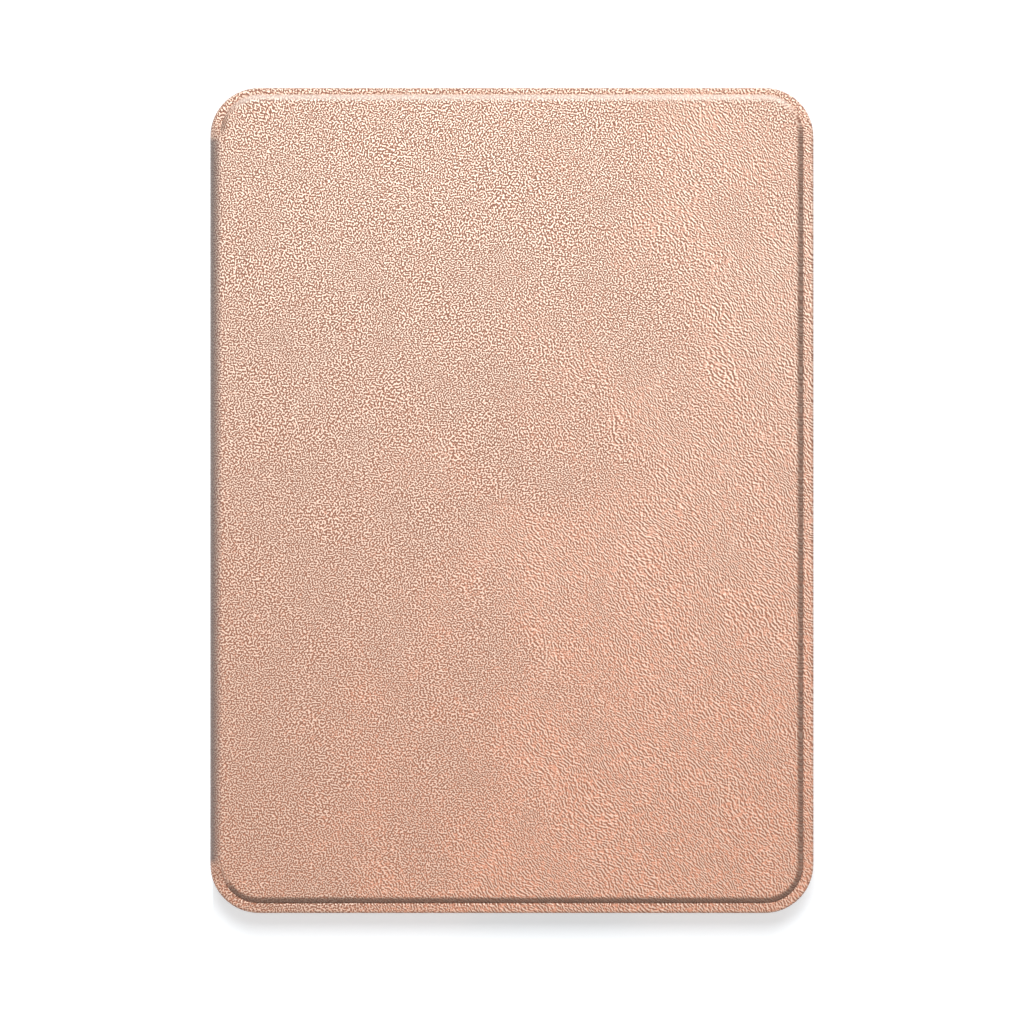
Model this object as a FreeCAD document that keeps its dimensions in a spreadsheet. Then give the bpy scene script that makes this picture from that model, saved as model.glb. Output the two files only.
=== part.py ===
import FreeCAD, Part
import math
import os
from types import SimpleNamespace

import Sketcher

# An e-reader held in the tray of its folio cover, lying on its back with the cover closed.
# X runs from the spine to the free edge, Y up the page and Z out of the front cover.
# The origin is at the middle of the case's back, on the surface that it lies on.

Vector = FreeCAD.Vector

DIMENSIONS = {
    # folio outline and the layers of its walls
    "case_width": 130.5,
    "case_length": 178.5,
    "case_corner": 10.6,
    "leather_sheet": 0.7,
    "lining_sheet": 0.4,
    "cover_card": 1.2,
    "spine_card": 1.1,
    "cover_underside": 10.45,
    # raised board panel of the front cover
    "rim_width": 3.3,
    "panel_corner": 8.4,
    "panel_edge_round": 0.55,
    "lining_inset": 0.8,
    # moulded tray
    "cover_overhang": 0.75,
    "spine_gap": 0.15,
    "tray_wall": 1.3,
    "tray_floor": 1.2,
    "tray_height": 10.3,
    "tray_corner": 9.5,
    "tray_base_round": 0.6,
    "tray_lip_round": 0.35,
    "notch_left": -9.0,
    "notch_right": 27.0,
    "notch_sill": 2.3,
    "notch_corner": 1.2,
    # reader casing
    "reader_gap": 0.1,
    "reader_thickness": 8.1,
    "housing_wall": 1.2,
    "housing_floor": 1.25,
    "housing_base_round": 1.1,
    "housing_rim_chamfer": 0.3,
    "frame_gap": 0.1,
    "frame_plate": 0.8,
    "frame_side": 4.0,
    "frame_foot": 7.8,
    "frame_head": 6.2,
    # display stack, from the front inwards
    "lens_sheet": 0.7,
    "mask_sheet": 0.15,
    "touch_sheet": 0.3,
    "light_guide": 0.5,
    "paper_panel": 0.9,
    "gasket_foam": 0.2,
    "page_width": 104.6,
    "page_length": 139.5,
    "page_head_margin": 13.0,
    "page_mask_margin": 0.5,
    "panel_side_border": 3.0,
    "panel_foot_border": 7.5,
    "led_size": 3.0,
    "led_count": 17.0,
    # logic board
    "board_sheet": 0.8,
    "board_height": 4.65,
    "board_half_width": 56.0,
    "board_foot": -84.2,
    "board_head": -50.0,
    "chip_height": 0.8,
    "can_height": 1.1,
    "can_sheet": 0.2,
    "can_chip_height": 0.75,
    # battery
    "battery_half_width": 31.0,
    "battery_foot": -42.0,
    "battery_head": 54.0,
    "battery_height": 3.2,
    "tape_sheet": 0.15,
    # charging socket
    "port_half_width": 4.47,
    "port_height": 3.2,
    "port_centre": 4.95,
    "port_depth": 7.3,
    "port_recess": 0.2,
    "port_sheet": 0.3,
    # power button
    "button_centre": 14.0,
    "button_level": 5.0,
    "button_length": 9.0,
    "button_width": 2.4,
    "button_proud": 0.35,
    "button_clearance": 0.15,
    "button_flange": 0.5,
    "button_travel": 0.3,
    "seal_foam": 0.55,
    "plunger_radius": 0.7,
    "light_centre": 22.5,
    "light_level": 5.6,
    "light_radius": 0.5,
    # magnets and screws
    "magnet_width": 2.5,
    "magnet_length": 14.0,
    "magnet_height": 1.0,
    "magnet_offset": 30.0,
    "magnet_edge": 2.7,
    "screw_radius": 0.7,
    "screw_head_radius": 1.3,
    "screw_head_height": 0.7,
    "boss_radius": 1.8,
}

document = FreeCAD.newDocument("FolioReader")
sheet = document.addObject("Spreadsheet::Sheet", "Dims")
for row, (alias, number) in enumerate(DIMENSIONS.items(), start=1):
    sheet.set(f"A{row}", alias)
    sheet.set(f"B{row}", str(number))
    sheet.setAlias(f"B{row}", alias)
document.recompute()


class Size:
    """A length from the sheet, or sums made of such lengths, with the expression that binds it."""

    def __init__(self, value, text):
        self.value = value
        self.text = text

    def __add__(self, other):
        other = as_size(other)
        return Size(self.value + other.value, f"({self.text} + {other.text})")

    def __radd__(self, other):
        return as_size(other) + self

    def __sub__(self, other):
        other = as_size(other)
        return Size(self.value - other.value, f"({self.text} - {other.text})")

    def __rsub__(self, other):
        return as_size(other) - self

    def __mul__(self, factor):
        return Size(self.value * factor, f"({self.text} * {factor})")

    def __truediv__(self, divisor):
        return Size(self.value / divisor, f"({self.text} / {divisor})")

    def __neg__(self):
        return Size(-self.value, f"(0 - {self.text})")


def as_size(item):
    return item if isinstance(item, Size) else Size(float(item), str(float(item)))


dim = SimpleNamespace(**{alias: Size(sheet.get(alias), f"Dims.{alias}") for alias in DIMENSIONS})


# ---- levels and outlines that several pieces share ----

half_width = dim.case_width / 2
half_length = dim.case_length / 2
fold_outside = dim.leather_sheet + dim.spine_card + dim.lining_sheet
fold_inside = fold_outside - dim.leather_sheet - dim.lining_sheet
spine_inner = fold_outside - half_width
spine_half_length = half_length - dim.case_corner

card_bottom = dim.cover_underside + dim.lining_sheet
card_top = card_bottom + dim.cover_card
rim_top = card_bottom + dim.leather_sheet
cover_top = card_top + dim.leather_sheet
front_fold_level = cover_top - fold_outside

tray_left = spine_inner + dim.spine_gap
tray_right = half_width - dim.cover_overhang
tray_half_length = half_length - dim.cover_overhang

reader_bottom = dim.leather_sheet + dim.tray_floor
reader_top = reader_bottom + dim.reader_thickness
reader_inset = dim.tray_wall + dim.reader_gap
reader_left = tray_left + reader_inset
reader_right = tray_right - reader_inset
reader_half_length = tray_half_length - reader_inset
reader_middle = (reader_left + reader_right) / 2
housing_inner_foot = dim.housing_wall - reader_half_length

floor_top = reader_bottom + dim.housing_floor
lens_bottom = reader_top - dim.lens_sheet
mask_bottom = lens_bottom - dim.mask_sheet
touch_bottom = mask_bottom - dim.touch_sheet
guide_bottom = touch_bottom - dim.light_guide
paper_bottom = guide_bottom - dim.paper_panel
frame_bottom = paper_bottom - dim.frame_plate
frame_top = mask_bottom - dim.gasket_foam
board_top = dim.board_height + dim.board_sheet

page_head = reader_half_length - dim.page_head_margin
page_foot = page_head - dim.page_length
page_left = reader_middle - dim.page_width / 2
page_right = reader_middle + dim.page_width / 2


def reader_outline(inset):
    """The reader's rounded outline, drawn in from its outer face by the inset."""
    corner = dim.tray_corner - reader_inset
    return (reader_left + inset, reader_right - inset, inset - reader_half_length,
            reader_half_length - inset, corner - inset)


def page_outline(margin, corner):
    return page_left - margin, page_right + margin, page_foot - margin, page_head + margin, corner


# ---- sketches ----

def origin_plane(body, role):
    return next(plane for plane in body.Origin.OriginFeatures if plane.Role == role)


def sketch_at(body, level, role="XY_Plane"):
    """A sketch on one of the body's own planes, moved along that plane's normal to the level."""
    sketch = body.newObject("Sketcher::SketchObject", f"{body.Name}_sketch")
    sketch.AttachmentSupport = (origin_plane(body, role), [""])
    sketch.MapMode = "FlatFace"
    sketch.setExpression("AttachmentOffset.Base.z", level.text)
    return sketch


def drive(sketch, label, kind, where, amount):
    """Add a dimension to the sketch and bind it to the sheet."""
    index = sketch.addConstraint(Sketcher.Constraint(kind, *where, amount.value))
    name = f"{label}_{index}"
    sketch.renameConstraint(index, name)
    sketch.setExpression(f"Constraints.{name}", amount.text)


def rounded_rectangle(sketch, left, right, low, high, corner):
    x0, x1, y0, y1, radius = (as_size(item).value for item in (left, right, low, high, corner))
    first = sketch.GeometryCount
    sides = [
        (Vector(x0 + radius, y0), Vector(x1 - radius, y0)),
        (Vector(x1, y0 + radius), Vector(x1, y1 - radius)),
        (Vector(x1 - radius, y1), Vector(x0 + radius, y1)),
        (Vector(x0, y1 - radius), Vector(x0, y0 + radius)),
    ]
    centres = [
        Vector(x1 - radius, y0 + radius),
        Vector(x1 - radius, y1 - radius),
        Vector(x0 + radius, y1 - radius),
        Vector(x0 + radius, y0 + radius),
    ]
    for start, end in sides:
        sketch.addGeometry(Part.LineSegment(start, end), False)
    for turn, centre in enumerate(centres):
        start_angle = (turn - 1) * math.pi / 2
        circle = Part.Circle(centre, Vector(0, 0, 1), radius)
        sketch.addGeometry(Part.ArcOfCircle(circle, start_angle, start_angle + math.pi / 2), False)
    for side in range(4):
        line = first + side
        arc = first + 4 + side
        following = first + (side + 1) % 4
        sketch.addConstraint(Sketcher.Constraint("Tangent", line, 2, arc, 1))
        sketch.addConstraint(Sketcher.Constraint("Tangent", arc, 2, following, 1))
        sketch.addConstraint(Sketcher.Constraint("Vertical" if side % 2 else "Horizontal", line))
        if side:
            sketch.addConstraint(Sketcher.Constraint("Equal", first + 4, arc))
    drive(sketch, "Corner", "Radius", (first + 4,), as_size(corner))
    drive(sketch, "Low", "DistanceY", (-1, 1, first, 1), as_size(low))
    drive(sketch, "Right", "DistanceX", (-1, 1, first + 1, 1), as_size(right))
    drive(sketch, "High", "DistanceY", (-1, 1, first + 2, 1), as_size(high))
    drive(sketch, "Left", "DistanceX", (-1, 1, first + 3, 1), as_size(left))


def pill(sketch, middle, level, length, width):
    """A slot with round ends, lying along the sketch's first axis."""
    almost_round = width / 2 - 0.02
    rounded_rectangle(sketch, middle - length / 2, middle + length / 2,
                      level - width / 2, level + width / 2, almost_round)


def rectangle(sketch, left, right, low, high):
    x0, x1, y0, y1 = (as_size(item).value for item in (left, right, low, high))
    corners = [Vector(x0, y0), Vector(x1, y0), Vector(x1, y1), Vector(x0, y1)]
    first = sketch.GeometryCount
    for side in range(4):
        sketch.addGeometry(Part.LineSegment(corners[side], corners[(side + 1) % 4]), False)
    for side in range(4):
        line = first + side
        following = first + (side + 1) % 4
        sketch.addConstraint(Sketcher.Constraint("Coincident", line, 2, following, 1))
        sketch.addConstraint(Sketcher.Constraint("Vertical" if side % 2 else "Horizontal", line))
    drive(sketch, "Low", "DistanceY", (-1, 1, first, 1), as_size(low))
    drive(sketch, "Right", "DistanceX", (-1, 1, first + 1, 1), as_size(right))
    drive(sketch, "High", "DistanceY", (-1, 1, first + 2, 1), as_size(high))
    drive(sketch, "Left", "DistanceX", (-1, 1, first + 3, 1), as_size(left))


def circle(sketch, x, y, radius):
    index = sketch.addGeometry(
        Part.Circle(Vector(as_size(x).value, as_size(y).value), Vector(0, 0, 1), radius.value), False)
    drive(sketch, "Radius", "Radius", (index,), radius)
    drive(sketch, "CentreX", "DistanceX", (-1, 1, index, 3), as_size(x))
    drive(sketch, "CentreY", "DistanceY", (-1, 1, index, 3), as_size(y))


# ---- features ----

nodes = []
pockets = []


def new_body(name):
    body = document.addObject("PartDesign::Body", name)
    body.Label = name
    nodes.append(body)
    return body


def pad(body, sketch, thickness):
    feature = body.newObject("PartDesign::Pad", f"{body.Name}_pad")
    feature.Profile = sketch
    feature.setExpression("Length", as_size(thickness).text)
    sketch.Visibility = False
    return feature


def pocket(body, sketch, depth, along_normal=False):
    """Cut the sketch into the body, against the sketch plane's normal unless told otherwise."""
    feature = body.newObject("PartDesign::Pocket", f"{body.Name}_pocket")
    feature.Profile = sketch
    feature.Reversed = along_normal
    feature.setExpression("Length", as_size(depth).text)
    sketch.Visibility = False
    pockets.append(feature)
    return feature


def edges_at(shape, level):
    """Names of the edges that lie flat at this height."""
    flat = 0.01
    return [
        f"Edge{number}"
        for number, edge in enumerate(shape.Edges, start=1)
        if abs(edge.BoundBox.ZMin - level.value) < flat and abs(edge.BoundBox.ZMax - level.value) < flat
    ]


def dress(body, kind, names, amount):
    """Fillet or chamfer the named edges of the body's last feature."""
    base = body.Tip
    feature = body.newObject(f"PartDesign::{kind}", f"{body.Name}_{kind.lower()}")
    feature.Base = (base, names)
    feature.setExpression("Radius" if kind == "Fillet" else "Size", amount.text)


def plate(name, outline, bottom, thickness):
    body = new_body(name)
    sketch = sketch_at(body, bottom)
    rounded_rectangle(sketch, *outline)
    pad(body, sketch, thickness)
    return body


def ring(name, outer, inner, bottom, thickness):
    body = new_body(name)
    sketch = sketch_at(body, bottom)
    rounded_rectangle(sketch, *outer)
    rounded_rectangle(sketch, *inner)
    pad(body, sketch, thickness)
    return body


def trim_at_spine(body, bottom, depth):
    """Cut away what lies on the spine's side of the cover's hinge line."""
    sketch = sketch_at(body, bottom)
    beyond = 5
    rectangle(sketch, -half_width - beyond, spine_inner, -half_length - beyond, half_length + beyond)
    pocket(body, sketch, depth, along_normal=True)


def block(name, x_range, y_range, z_range, keep=True):
    """A box between its faces on each axis."""
    box = document.addObject("Part::Box", name)
    box.Label = name
    ranges = {"x": x_range, "y": y_range, "z": z_range}
    for (axis, (low, high)), side in zip(ranges.items(), ("Length", "Width", "Height")):
        low, high = as_size(low), as_size(high)
        box.setExpression(f"Placement.Base.{axis}", low.text)
        box.setExpression(side, (high - low).text)
    if keep:
        nodes.append(box)
    return box


def chip(name, x, y, width, length, height=dim.chip_height):
    """A package soldered to the top of the logic board, centred at x, y."""
    x, y = as_size(x), as_size(y)
    return block(name, (x - width / 2, x + width / 2), (y - length / 2, y + length / 2),
                 (board_top, board_top + height))


def joined(name, members):
    fuse = document.addObject("Part::MultiFuse", name)
    fuse.Label = name
    fuse.Shapes = members
    nodes.append(fuse)
    return fuse


def group(name, members):
    """Identical separate pieces that share one node."""
    compound = document.addObject("Part::Compound", name)
    compound.Label = name
    compound.Links = members
    nodes.append(compound)
    return compound


def hidden_cylinder(name, x, y, bottom, radius, height):
    cylinder = document.addObject("Part::Cylinder", name)
    for axis, place in (("x", x), ("y", y), ("z", bottom)):
        cylinder.setExpression(f"Placement.Base.{axis}", as_size(place).text)
    cylinder.setExpression("Radius", radius.text)
    cylinder.setExpression("Height", height.text)
    return cylinder


def screw(name, x, y, seat, shank_length):
    """A pan head above the seat and a plain shank below it."""
    head = hidden_cylinder(f"{name}_head", x, y, seat, dim.screw_head_radius, dim.screw_head_height)
    shank_radius = dim.screw_radius - 0.02
    shank = hidden_cylinder(f"{name}_shank", x, y, seat - shank_length, shank_radius, shank_length)
    fuse = document.addObject("Part::MultiFuse", name)
    fuse.Shapes = [head, shank]
    return fuse


# ---- places of the repeated features ----

side_screw_x = (reader_left + dim.housing_wall + dim.frame_gap + dim.frame_side / 2,
                reader_right - dim.housing_wall - dim.frame_gap - dim.frame_side / 2)
side_screws = [(x, y) for x in side_screw_x for y in (-75.0, -12.0, 12.0, 75.0)]
board_screws = [(x, y) for x in (-52.0, 52.0) for y in (-80.0, -54.0)]
magnet_right = half_width - dim.rim_width - dim.magnet_edge + dim.magnet_width / 2
magnet_x = (magnet_right - dim.magnet_width, magnet_right)
magnet_places = [(-dim.magnet_offset - dim.magnet_length / 2, -dim.magnet_offset + dim.magnet_length / 2),
                 (dim.magnet_offset - dim.magnet_length / 2, dim.magnet_offset + dim.magnet_length / 2)]
sleep_magnet_place = (50.0, -70.0)
sleep_magnet_radius = Size(2.5, "2.5")
magnet_bottom = card_top - dim.magnet_height - 0.05


# ---- front cover ----

def cover_outline(inset):
    return (inset - half_width, half_width - inset, inset - half_length, half_length - inset,
            dim.case_corner - inset)


def panel_outline(inset):
    """The raised panel: level with the fold at the spine, stepped in from the other three edges."""
    reach = half_length - dim.rim_width
    return (spine_inner + inset, half_width - dim.rim_width - inset, inset - reach, reach - inset,
            dim.panel_corner - inset)


def make_cover():
    leather = new_body("cover_leather")
    rim = sketch_at(leather, card_bottom)
    rounded_rectangle(rim, *cover_outline(as_size(0)))
    pad(leather, rim, dim.leather_sheet)
    panel = sketch_at(leather, card_bottom)
    rounded_rectangle(panel, *panel_outline(as_size(0)))
    pad(leather, panel, cover_top - card_bottom)
    card_space = sketch_at(leather, card_bottom)
    rounded_rectangle(card_space, *panel_outline(dim.leather_sheet))
    pocket(leather, card_space, dim.cover_card, along_normal=True)
    trim_at_spine(leather, card_bottom, cover_top - card_bottom + 1)
    document.recompute()
    tip_shape = leather.Tip.Shape
    spine_side = [
        name for name in edges_at(tip_shape, cover_top)
        if tip_shape.getElement(name).BoundBox.XMax < spine_inner.value + 0.01
    ]
    rolled = [name for name in edges_at(tip_shape, cover_top) if name not in spine_side]
    dress(leather, "Fillet", rolled, dim.panel_edge_round)

    card = plate("cover_board", panel_outline(dim.leather_sheet), card_bottom, dim.cover_card)
    magnet_space = sketch_at(card, magnet_bottom)
    for low, high in magnet_places:
        rectangle(magnet_space, magnet_x[0], magnet_x[1], low, high)
    circle(magnet_space, *sleep_magnet_place, sleep_magnet_radius)
    pocket(card, magnet_space, card_top - magnet_bottom + 1, along_normal=True)

    lining = plate("cover_lining", cover_outline(dim.lining_inset), dim.cover_underside, dim.lining_sheet)
    trim_at_spine(lining, dim.cover_underside, dim.lining_sheet)

    magnets = [
        block(f"closure_magnet_{number}", magnet_x, place,
              (magnet_bottom, magnet_bottom + dim.magnet_height), keep=False)
        for number, place in enumerate(magnet_places, start=1)
    ]
    group("closure_magnets", magnets)
    sleep = hidden_cylinder("sleep_magnet", *sleep_magnet_place, magnet_bottom, sleep_magnet_radius,
                            dim.magnet_height)
    sleep.Label = "sleep_magnet"
    nodes.append(sleep)


# ---- spine and its two folds ----

def fold(name, level, toward, prism):
    """A quarter round of laminated leather between the spine and a flat wall.

    The roll's centre is on the cover's hinge line at the level, and toward is where its
    first edge points. Its ends follow the case's rounded corners.
    """
    turned = FreeCAD.Rotation(*toward, "XYZ")
    rolls = []
    for part, radius in (("outside", fold_outside), ("inside", fold_inside)):
        roll = document.addObject("Part::Cylinder", f"{name}_{part}")
        roll.Angle = 90
        roll.Placement.Rotation = turned
        roll.setExpression("Placement.Base.x", spine_inner.text)
        roll.setExpression("Placement.Base.y", (-half_length).text)
        roll.setExpression("Placement.Base.z", level.text)
        roll.setExpression("Radius", radius.text)
        roll.setExpression("Height", dim.case_length.text)
        rolls.append(roll)
    laminate = document.addObject("Part::Cut", f"{name}_laminate")
    laminate.Base, laminate.Tool = rolls
    strip = document.addObject("Part::Common", name)
    strip.Label = name
    strip.Base = laminate
    strip.Tool = prism
    nodes.append(strip)


def outline_prism(name, outline):
    """A tall block of the case's rounded outline, which trims the folds."""
    body = document.addObject("PartDesign::Body", name)
    sketch = sketch_at(body, as_size(-1.0))
    rounded_rectangle(sketch, *outline)
    pad(body, sketch, cover_top + 2)
    return body


def back_outline():
    corner = tray_half_length - spine_half_length
    return -half_width, tray_right, -tray_half_length, tray_half_length, corner


def make_spine():
    along = (-spine_half_length, spine_half_length)
    upright = (fold_outside, front_fold_level)
    leather_inner = dim.leather_sheet - half_width
    card_inner = leather_inner + dim.spine_card
    block("spine_leather", (-half_width, leather_inner), along, upright)
    block("spine_stiffener", (leather_inner, card_inner), along, upright)
    block("spine_lining", (card_inner, spine_inner), along, upright)
    left, up, down, back = Vector(-1, 0, 0), Vector(0, 0, 1), Vector(0, 0, -1), Vector(0, 1, 0)
    fold("front_fold_leather", front_fold_level, (left, up, back),
         outline_prism("cover_prism", cover_outline(as_size(0))))
    fold("rear_fold_leather", fold_outside, (down, left, back),
         outline_prism("back_prism", back_outline()))


# ---- back of the folio ----

def make_tray():
    leather = plate("back_leather", back_outline(), as_size(0), dim.leather_sheet)
    trim_at_spine(leather, as_size(0), dim.leather_sheet)

    outline = (tray_left, tray_right, -tray_half_length, tray_half_length, dim.tray_corner)
    tray = plate("tray_shell", outline, dim.leather_sheet, dim.tray_height - dim.leather_sheet)
    inside = sketch_at(tray, reader_bottom)
    wall = dim.tray_wall
    rounded_rectangle(inside, tray_left + wall, tray_right - wall, wall - tray_half_length,
                      tray_half_length - wall, dim.tray_corner - wall)
    pocket(tray, inside, dim.tray_height, along_normal=True)
    notch = sketch_at(tray, tray_half_length + 1, "XZ_Plane")
    rounded_rectangle(notch, dim.notch_left, dim.notch_right, dim.notch_sill, dim.tray_height + 2,
                      dim.notch_corner)
    pocket(tray, notch, wall + 1.5)
    document.recompute()
    dress(tray, "Fillet", edges_at(tray.Tip.Shape, dim.leather_sheet), dim.tray_base_round)
    document.recompute()
    dress(tray, "Fillet", edges_at(tray.Tip.Shape, dim.tray_height), dim.tray_lip_round)


# ---- reader casing ----

def make_housing():
    housing = plate("rear_housing", reader_outline(as_size(0)), reader_bottom, dim.reader_thickness)
    inside = sketch_at(housing, floor_top)
    rounded_rectangle(inside, *reader_outline(dim.housing_wall))
    pocket(housing, inside, dim.reader_thickness, along_normal=True)
    document.recompute()
    dress(housing, "Fillet", edges_at(housing.Tip.Shape, reader_bottom), dim.housing_base_round)
    document.recompute()
    rim_edges = [
        name for name in edges_at(housing.Tip.Shape, reader_top)
        if is_outer_edge(housing.Tip.Shape.getElement(name))
    ]
    dress(housing, "Chamfer", rim_edges, dim.housing_rim_chamfer)

    for places, height in ((side_screws, frame_bottom), (board_screws, dim.board_height)):
        bosses = sketch_at(housing, floor_top)
        for x, y in places:
            circle(bosses, x, y, dim.boss_radius)
        pad(housing, bosses, height - floor_top)
        bores = sketch_at(housing, height)
        for x, y in places:
            circle(bores, x, y, dim.screw_radius)
        pocket(housing, bores, height - floor_top)

    outside = dim.housing_wall + 1 - housing_inner_foot
    slots = sketch_at(housing, outside, "XZ_Plane")
    around = dim.button_clearance
    rounded_rectangle(slots, -dim.port_half_width - around, dim.port_half_width + around,
                      dim.port_centre - dim.port_height / 2 - around,
                      dim.port_centre + dim.port_height / 2 + around, as_size(1.6))
    pill(slots, dim.button_centre, dim.button_level, dim.button_length + around * 2,
         dim.button_width + around * 2)
    circle(slots, dim.light_centre, dim.light_level, dim.light_radius + 0.02)
    pocket(housing, slots, dim.housing_wall + 1.5)

    seal_seat = sketch_at(housing, floor_top)
    rectangle(seal_seat, -dim.port_half_width - 1.4, dim.port_half_width + 1.4,
              housing_inner_foot, housing_inner_foot + 1.2)
    pocket(housing, seal_seat, 0.6)


def is_outer_edge(edge):
    """Tell the casing's outer rim from the inner one by how far the edge is from the middle."""
    middle = edge.valueAt((edge.FirstParameter + edge.LastParameter) / 2)
    across = abs(middle.x - reader_middle.value) - (reader_right - reader_left).value / 2
    along = abs(middle.y) - reader_half_length.value
    corner = reader_outline(as_size(0))[4].value
    corner_reach = corner * (1 - math.sqrt(0.5))
    on_side = max(across, along) > -0.1
    on_corner = min(across, along) > -corner_reach - 0.1
    return on_side or on_corner


def make_frame():
    inset = dim.housing_wall + dim.frame_gap
    frame = plate("mid_frame", reader_outline(inset), frame_bottom, frame_top - frame_bottom)
    left, right, low, high, corner = reader_outline(inset)
    display_space = (left + dim.frame_side, right - dim.frame_side, low + dim.frame_foot,
                     high - dim.frame_head, as_size(1.5))
    stack = sketch_at(frame, paper_bottom)
    rounded_rectangle(stack, *display_space)
    pocket(frame, stack, frame_top - frame_bottom, along_normal=True)

    head_seats = sketch_at(frame, frame_top)
    for x, y in side_screws:
        circle(head_seats, x, y, dim.screw_head_radius + 0.15)
    pocket(frame, head_seats, dim.screw_head_height + 0.2)
    clear_holes = sketch_at(frame, frame_top)
    for x, y in side_screws:
        circle(clear_holes, x, y, dim.screw_radius + 0.1)
    pocket(frame, clear_holes, frame_top - frame_bottom + 1)

    magnet_seats = sketch_at(frame, frame_top)
    for low_end, high_end in magnet_places:
        rectangle(magnet_seats, magnet_x[0] - 0.05, magnet_x[1] + 0.05, low_end - 0.05, high_end + 0.05)
    pocket(frame, magnet_seats, dim.magnet_height + 0.1)

    flex_slots = sketch_at(frame, frame_bottom)
    rectangle(flex_slots, -13.0, 13.0, -77.0, -75.0)
    rectangle(flex_slots, 29.0, 43.0, -77.9, -76.6)
    port_room = dim.port_half_width + 1.5
    rectangle(flex_slots, -port_room, port_room, low - 1, as_size(-79.0))
    pocket(frame, flex_slots, dim.frame_plate, along_normal=True)

    lens_inset = inset + 0.5
    gasket_inner = (display_space[0] - 0.3, display_space[1] + 0.3, display_space[2] - 0.3,
                    display_space[3] + 0.3, as_size(1.8))
    ring("lens_gasket", reader_outline(lens_inset), gasket_inner, frame_top, dim.gasket_foam)
    ring("front_border", reader_outline(inset + 0.2), page_outline(dim.page_mask_margin, as_size(0.8)),
         mask_bottom, dim.mask_sheet)
    plate("front_lens", reader_outline(inset), lens_bottom, dim.lens_sheet)
    plate("optical_adhesive", page_outline(dim.page_mask_margin - 0.1, as_size(0.7)), mask_bottom,
          dim.mask_sheet)

    latches = [
        block(f"latch_magnet_{number}", magnet_x, place,
              (frame_top - dim.magnet_height - 0.05, frame_top - 0.05), keep=False)
        for number, place in enumerate(magnet_places, start=1)
    ]
    group("latch_magnets", latches)
    seat = frame_top - dim.screw_head_height - 0.2
    group("housing_screws", [
        screw(f"housing_screw_{number}", x, y, seat, seat - frame_bottom + 2.4)
        for number, (x, y) in enumerate(side_screws, start=1)
    ])


# ---- display stack ----

def make_display():
    half_panel = dim.page_width / 2 + dim.panel_side_border
    panel_x = (reader_middle - half_panel, reader_middle + half_panel)
    panel_head = page_head + dim.panel_side_border
    panel_foot = page_foot - dim.panel_foot_border
    panel_corner = as_size(0.5)
    plate("touch_panel", (panel_x[0] - 1.2, panel_x[1] + 1.2, panel_foot - 4.2, panel_head + 1.5,
                          as_size(1.0)), touch_bottom, dim.touch_sheet)
    guide_foot = panel_foot + 3.5
    plate("light_guide_plate", (panel_x[0], panel_x[1], guide_foot, panel_head, panel_corner),
          guide_bottom, dim.light_guide)
    plate("epaper_panel", (panel_x[0], panel_x[1], panel_foot, panel_head, panel_corner),
          paper_bottom, dim.paper_panel)

    led_foot = guide_foot - 0.95
    pitch = dim.page_width / (dim.led_count.value - 1)
    leds = []
    for number in range(int(dim.led_count.value)):
        middle = page_left + pitch * number
        leds.append(block(
            f"front_led_{number + 1}", (middle - dim.led_size / 2, middle + dim.led_size / 2),
            (led_foot, guide_foot - 0.05), (guide_bottom + 0.03, touch_bottom - 0.03), keep=False))
    group("front_light_leds", leds)
    block("light_strip_flex", (panel_x[0] + 1, panel_x[1] - 1), (panel_foot, led_foot),
          (guide_bottom + 0.05, guide_bottom + 0.25))
    flex_half = 12.0
    bend = -76.0
    block("display_driver_chip", (-11.0, 11.0), (bend + 0.2, panel_foot - 1.2),
          (paper_bottom + 0.6, paper_bottom + 0.85))
    display_tail = [
        block("display_tail_top", (-flex_half, flex_half), (bend, panel_foot),
              (paper_bottom + 0.45, paper_bottom + 0.6), keep=False),
        block("display_tail_drop", (-flex_half, flex_half), (bend, bend + 0.15),
              (board_top + 0.3, paper_bottom + 0.6), keep=False),
        block("display_tail_foot", (-flex_half, flex_half), (bend, -73.0),
              (board_top + 0.3, board_top + 0.45), keep=False),
    ]
    joined("display_flex", display_tail)
    touch_foot = panel_foot - 4.2
    edge = touch_foot - 0.5
    touch_tail = [
        block("touch_tail_top", (30.0, 42.0), (edge, touch_foot),
              (touch_bottom + 0.05, touch_bottom + 0.2), keep=False),
        block("touch_tail_drop", (30.0, 42.0), (edge, edge + 0.15),
              (board_top + 0.3, touch_bottom + 0.2), keep=False),
        block("touch_tail_foot", (30.0, 42.0), (edge, -74.0),
              (board_top + 0.3, board_top + 0.45), keep=False),
    ]
    joined("touch_flex", touch_tail)


# ---- electronics ----

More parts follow.
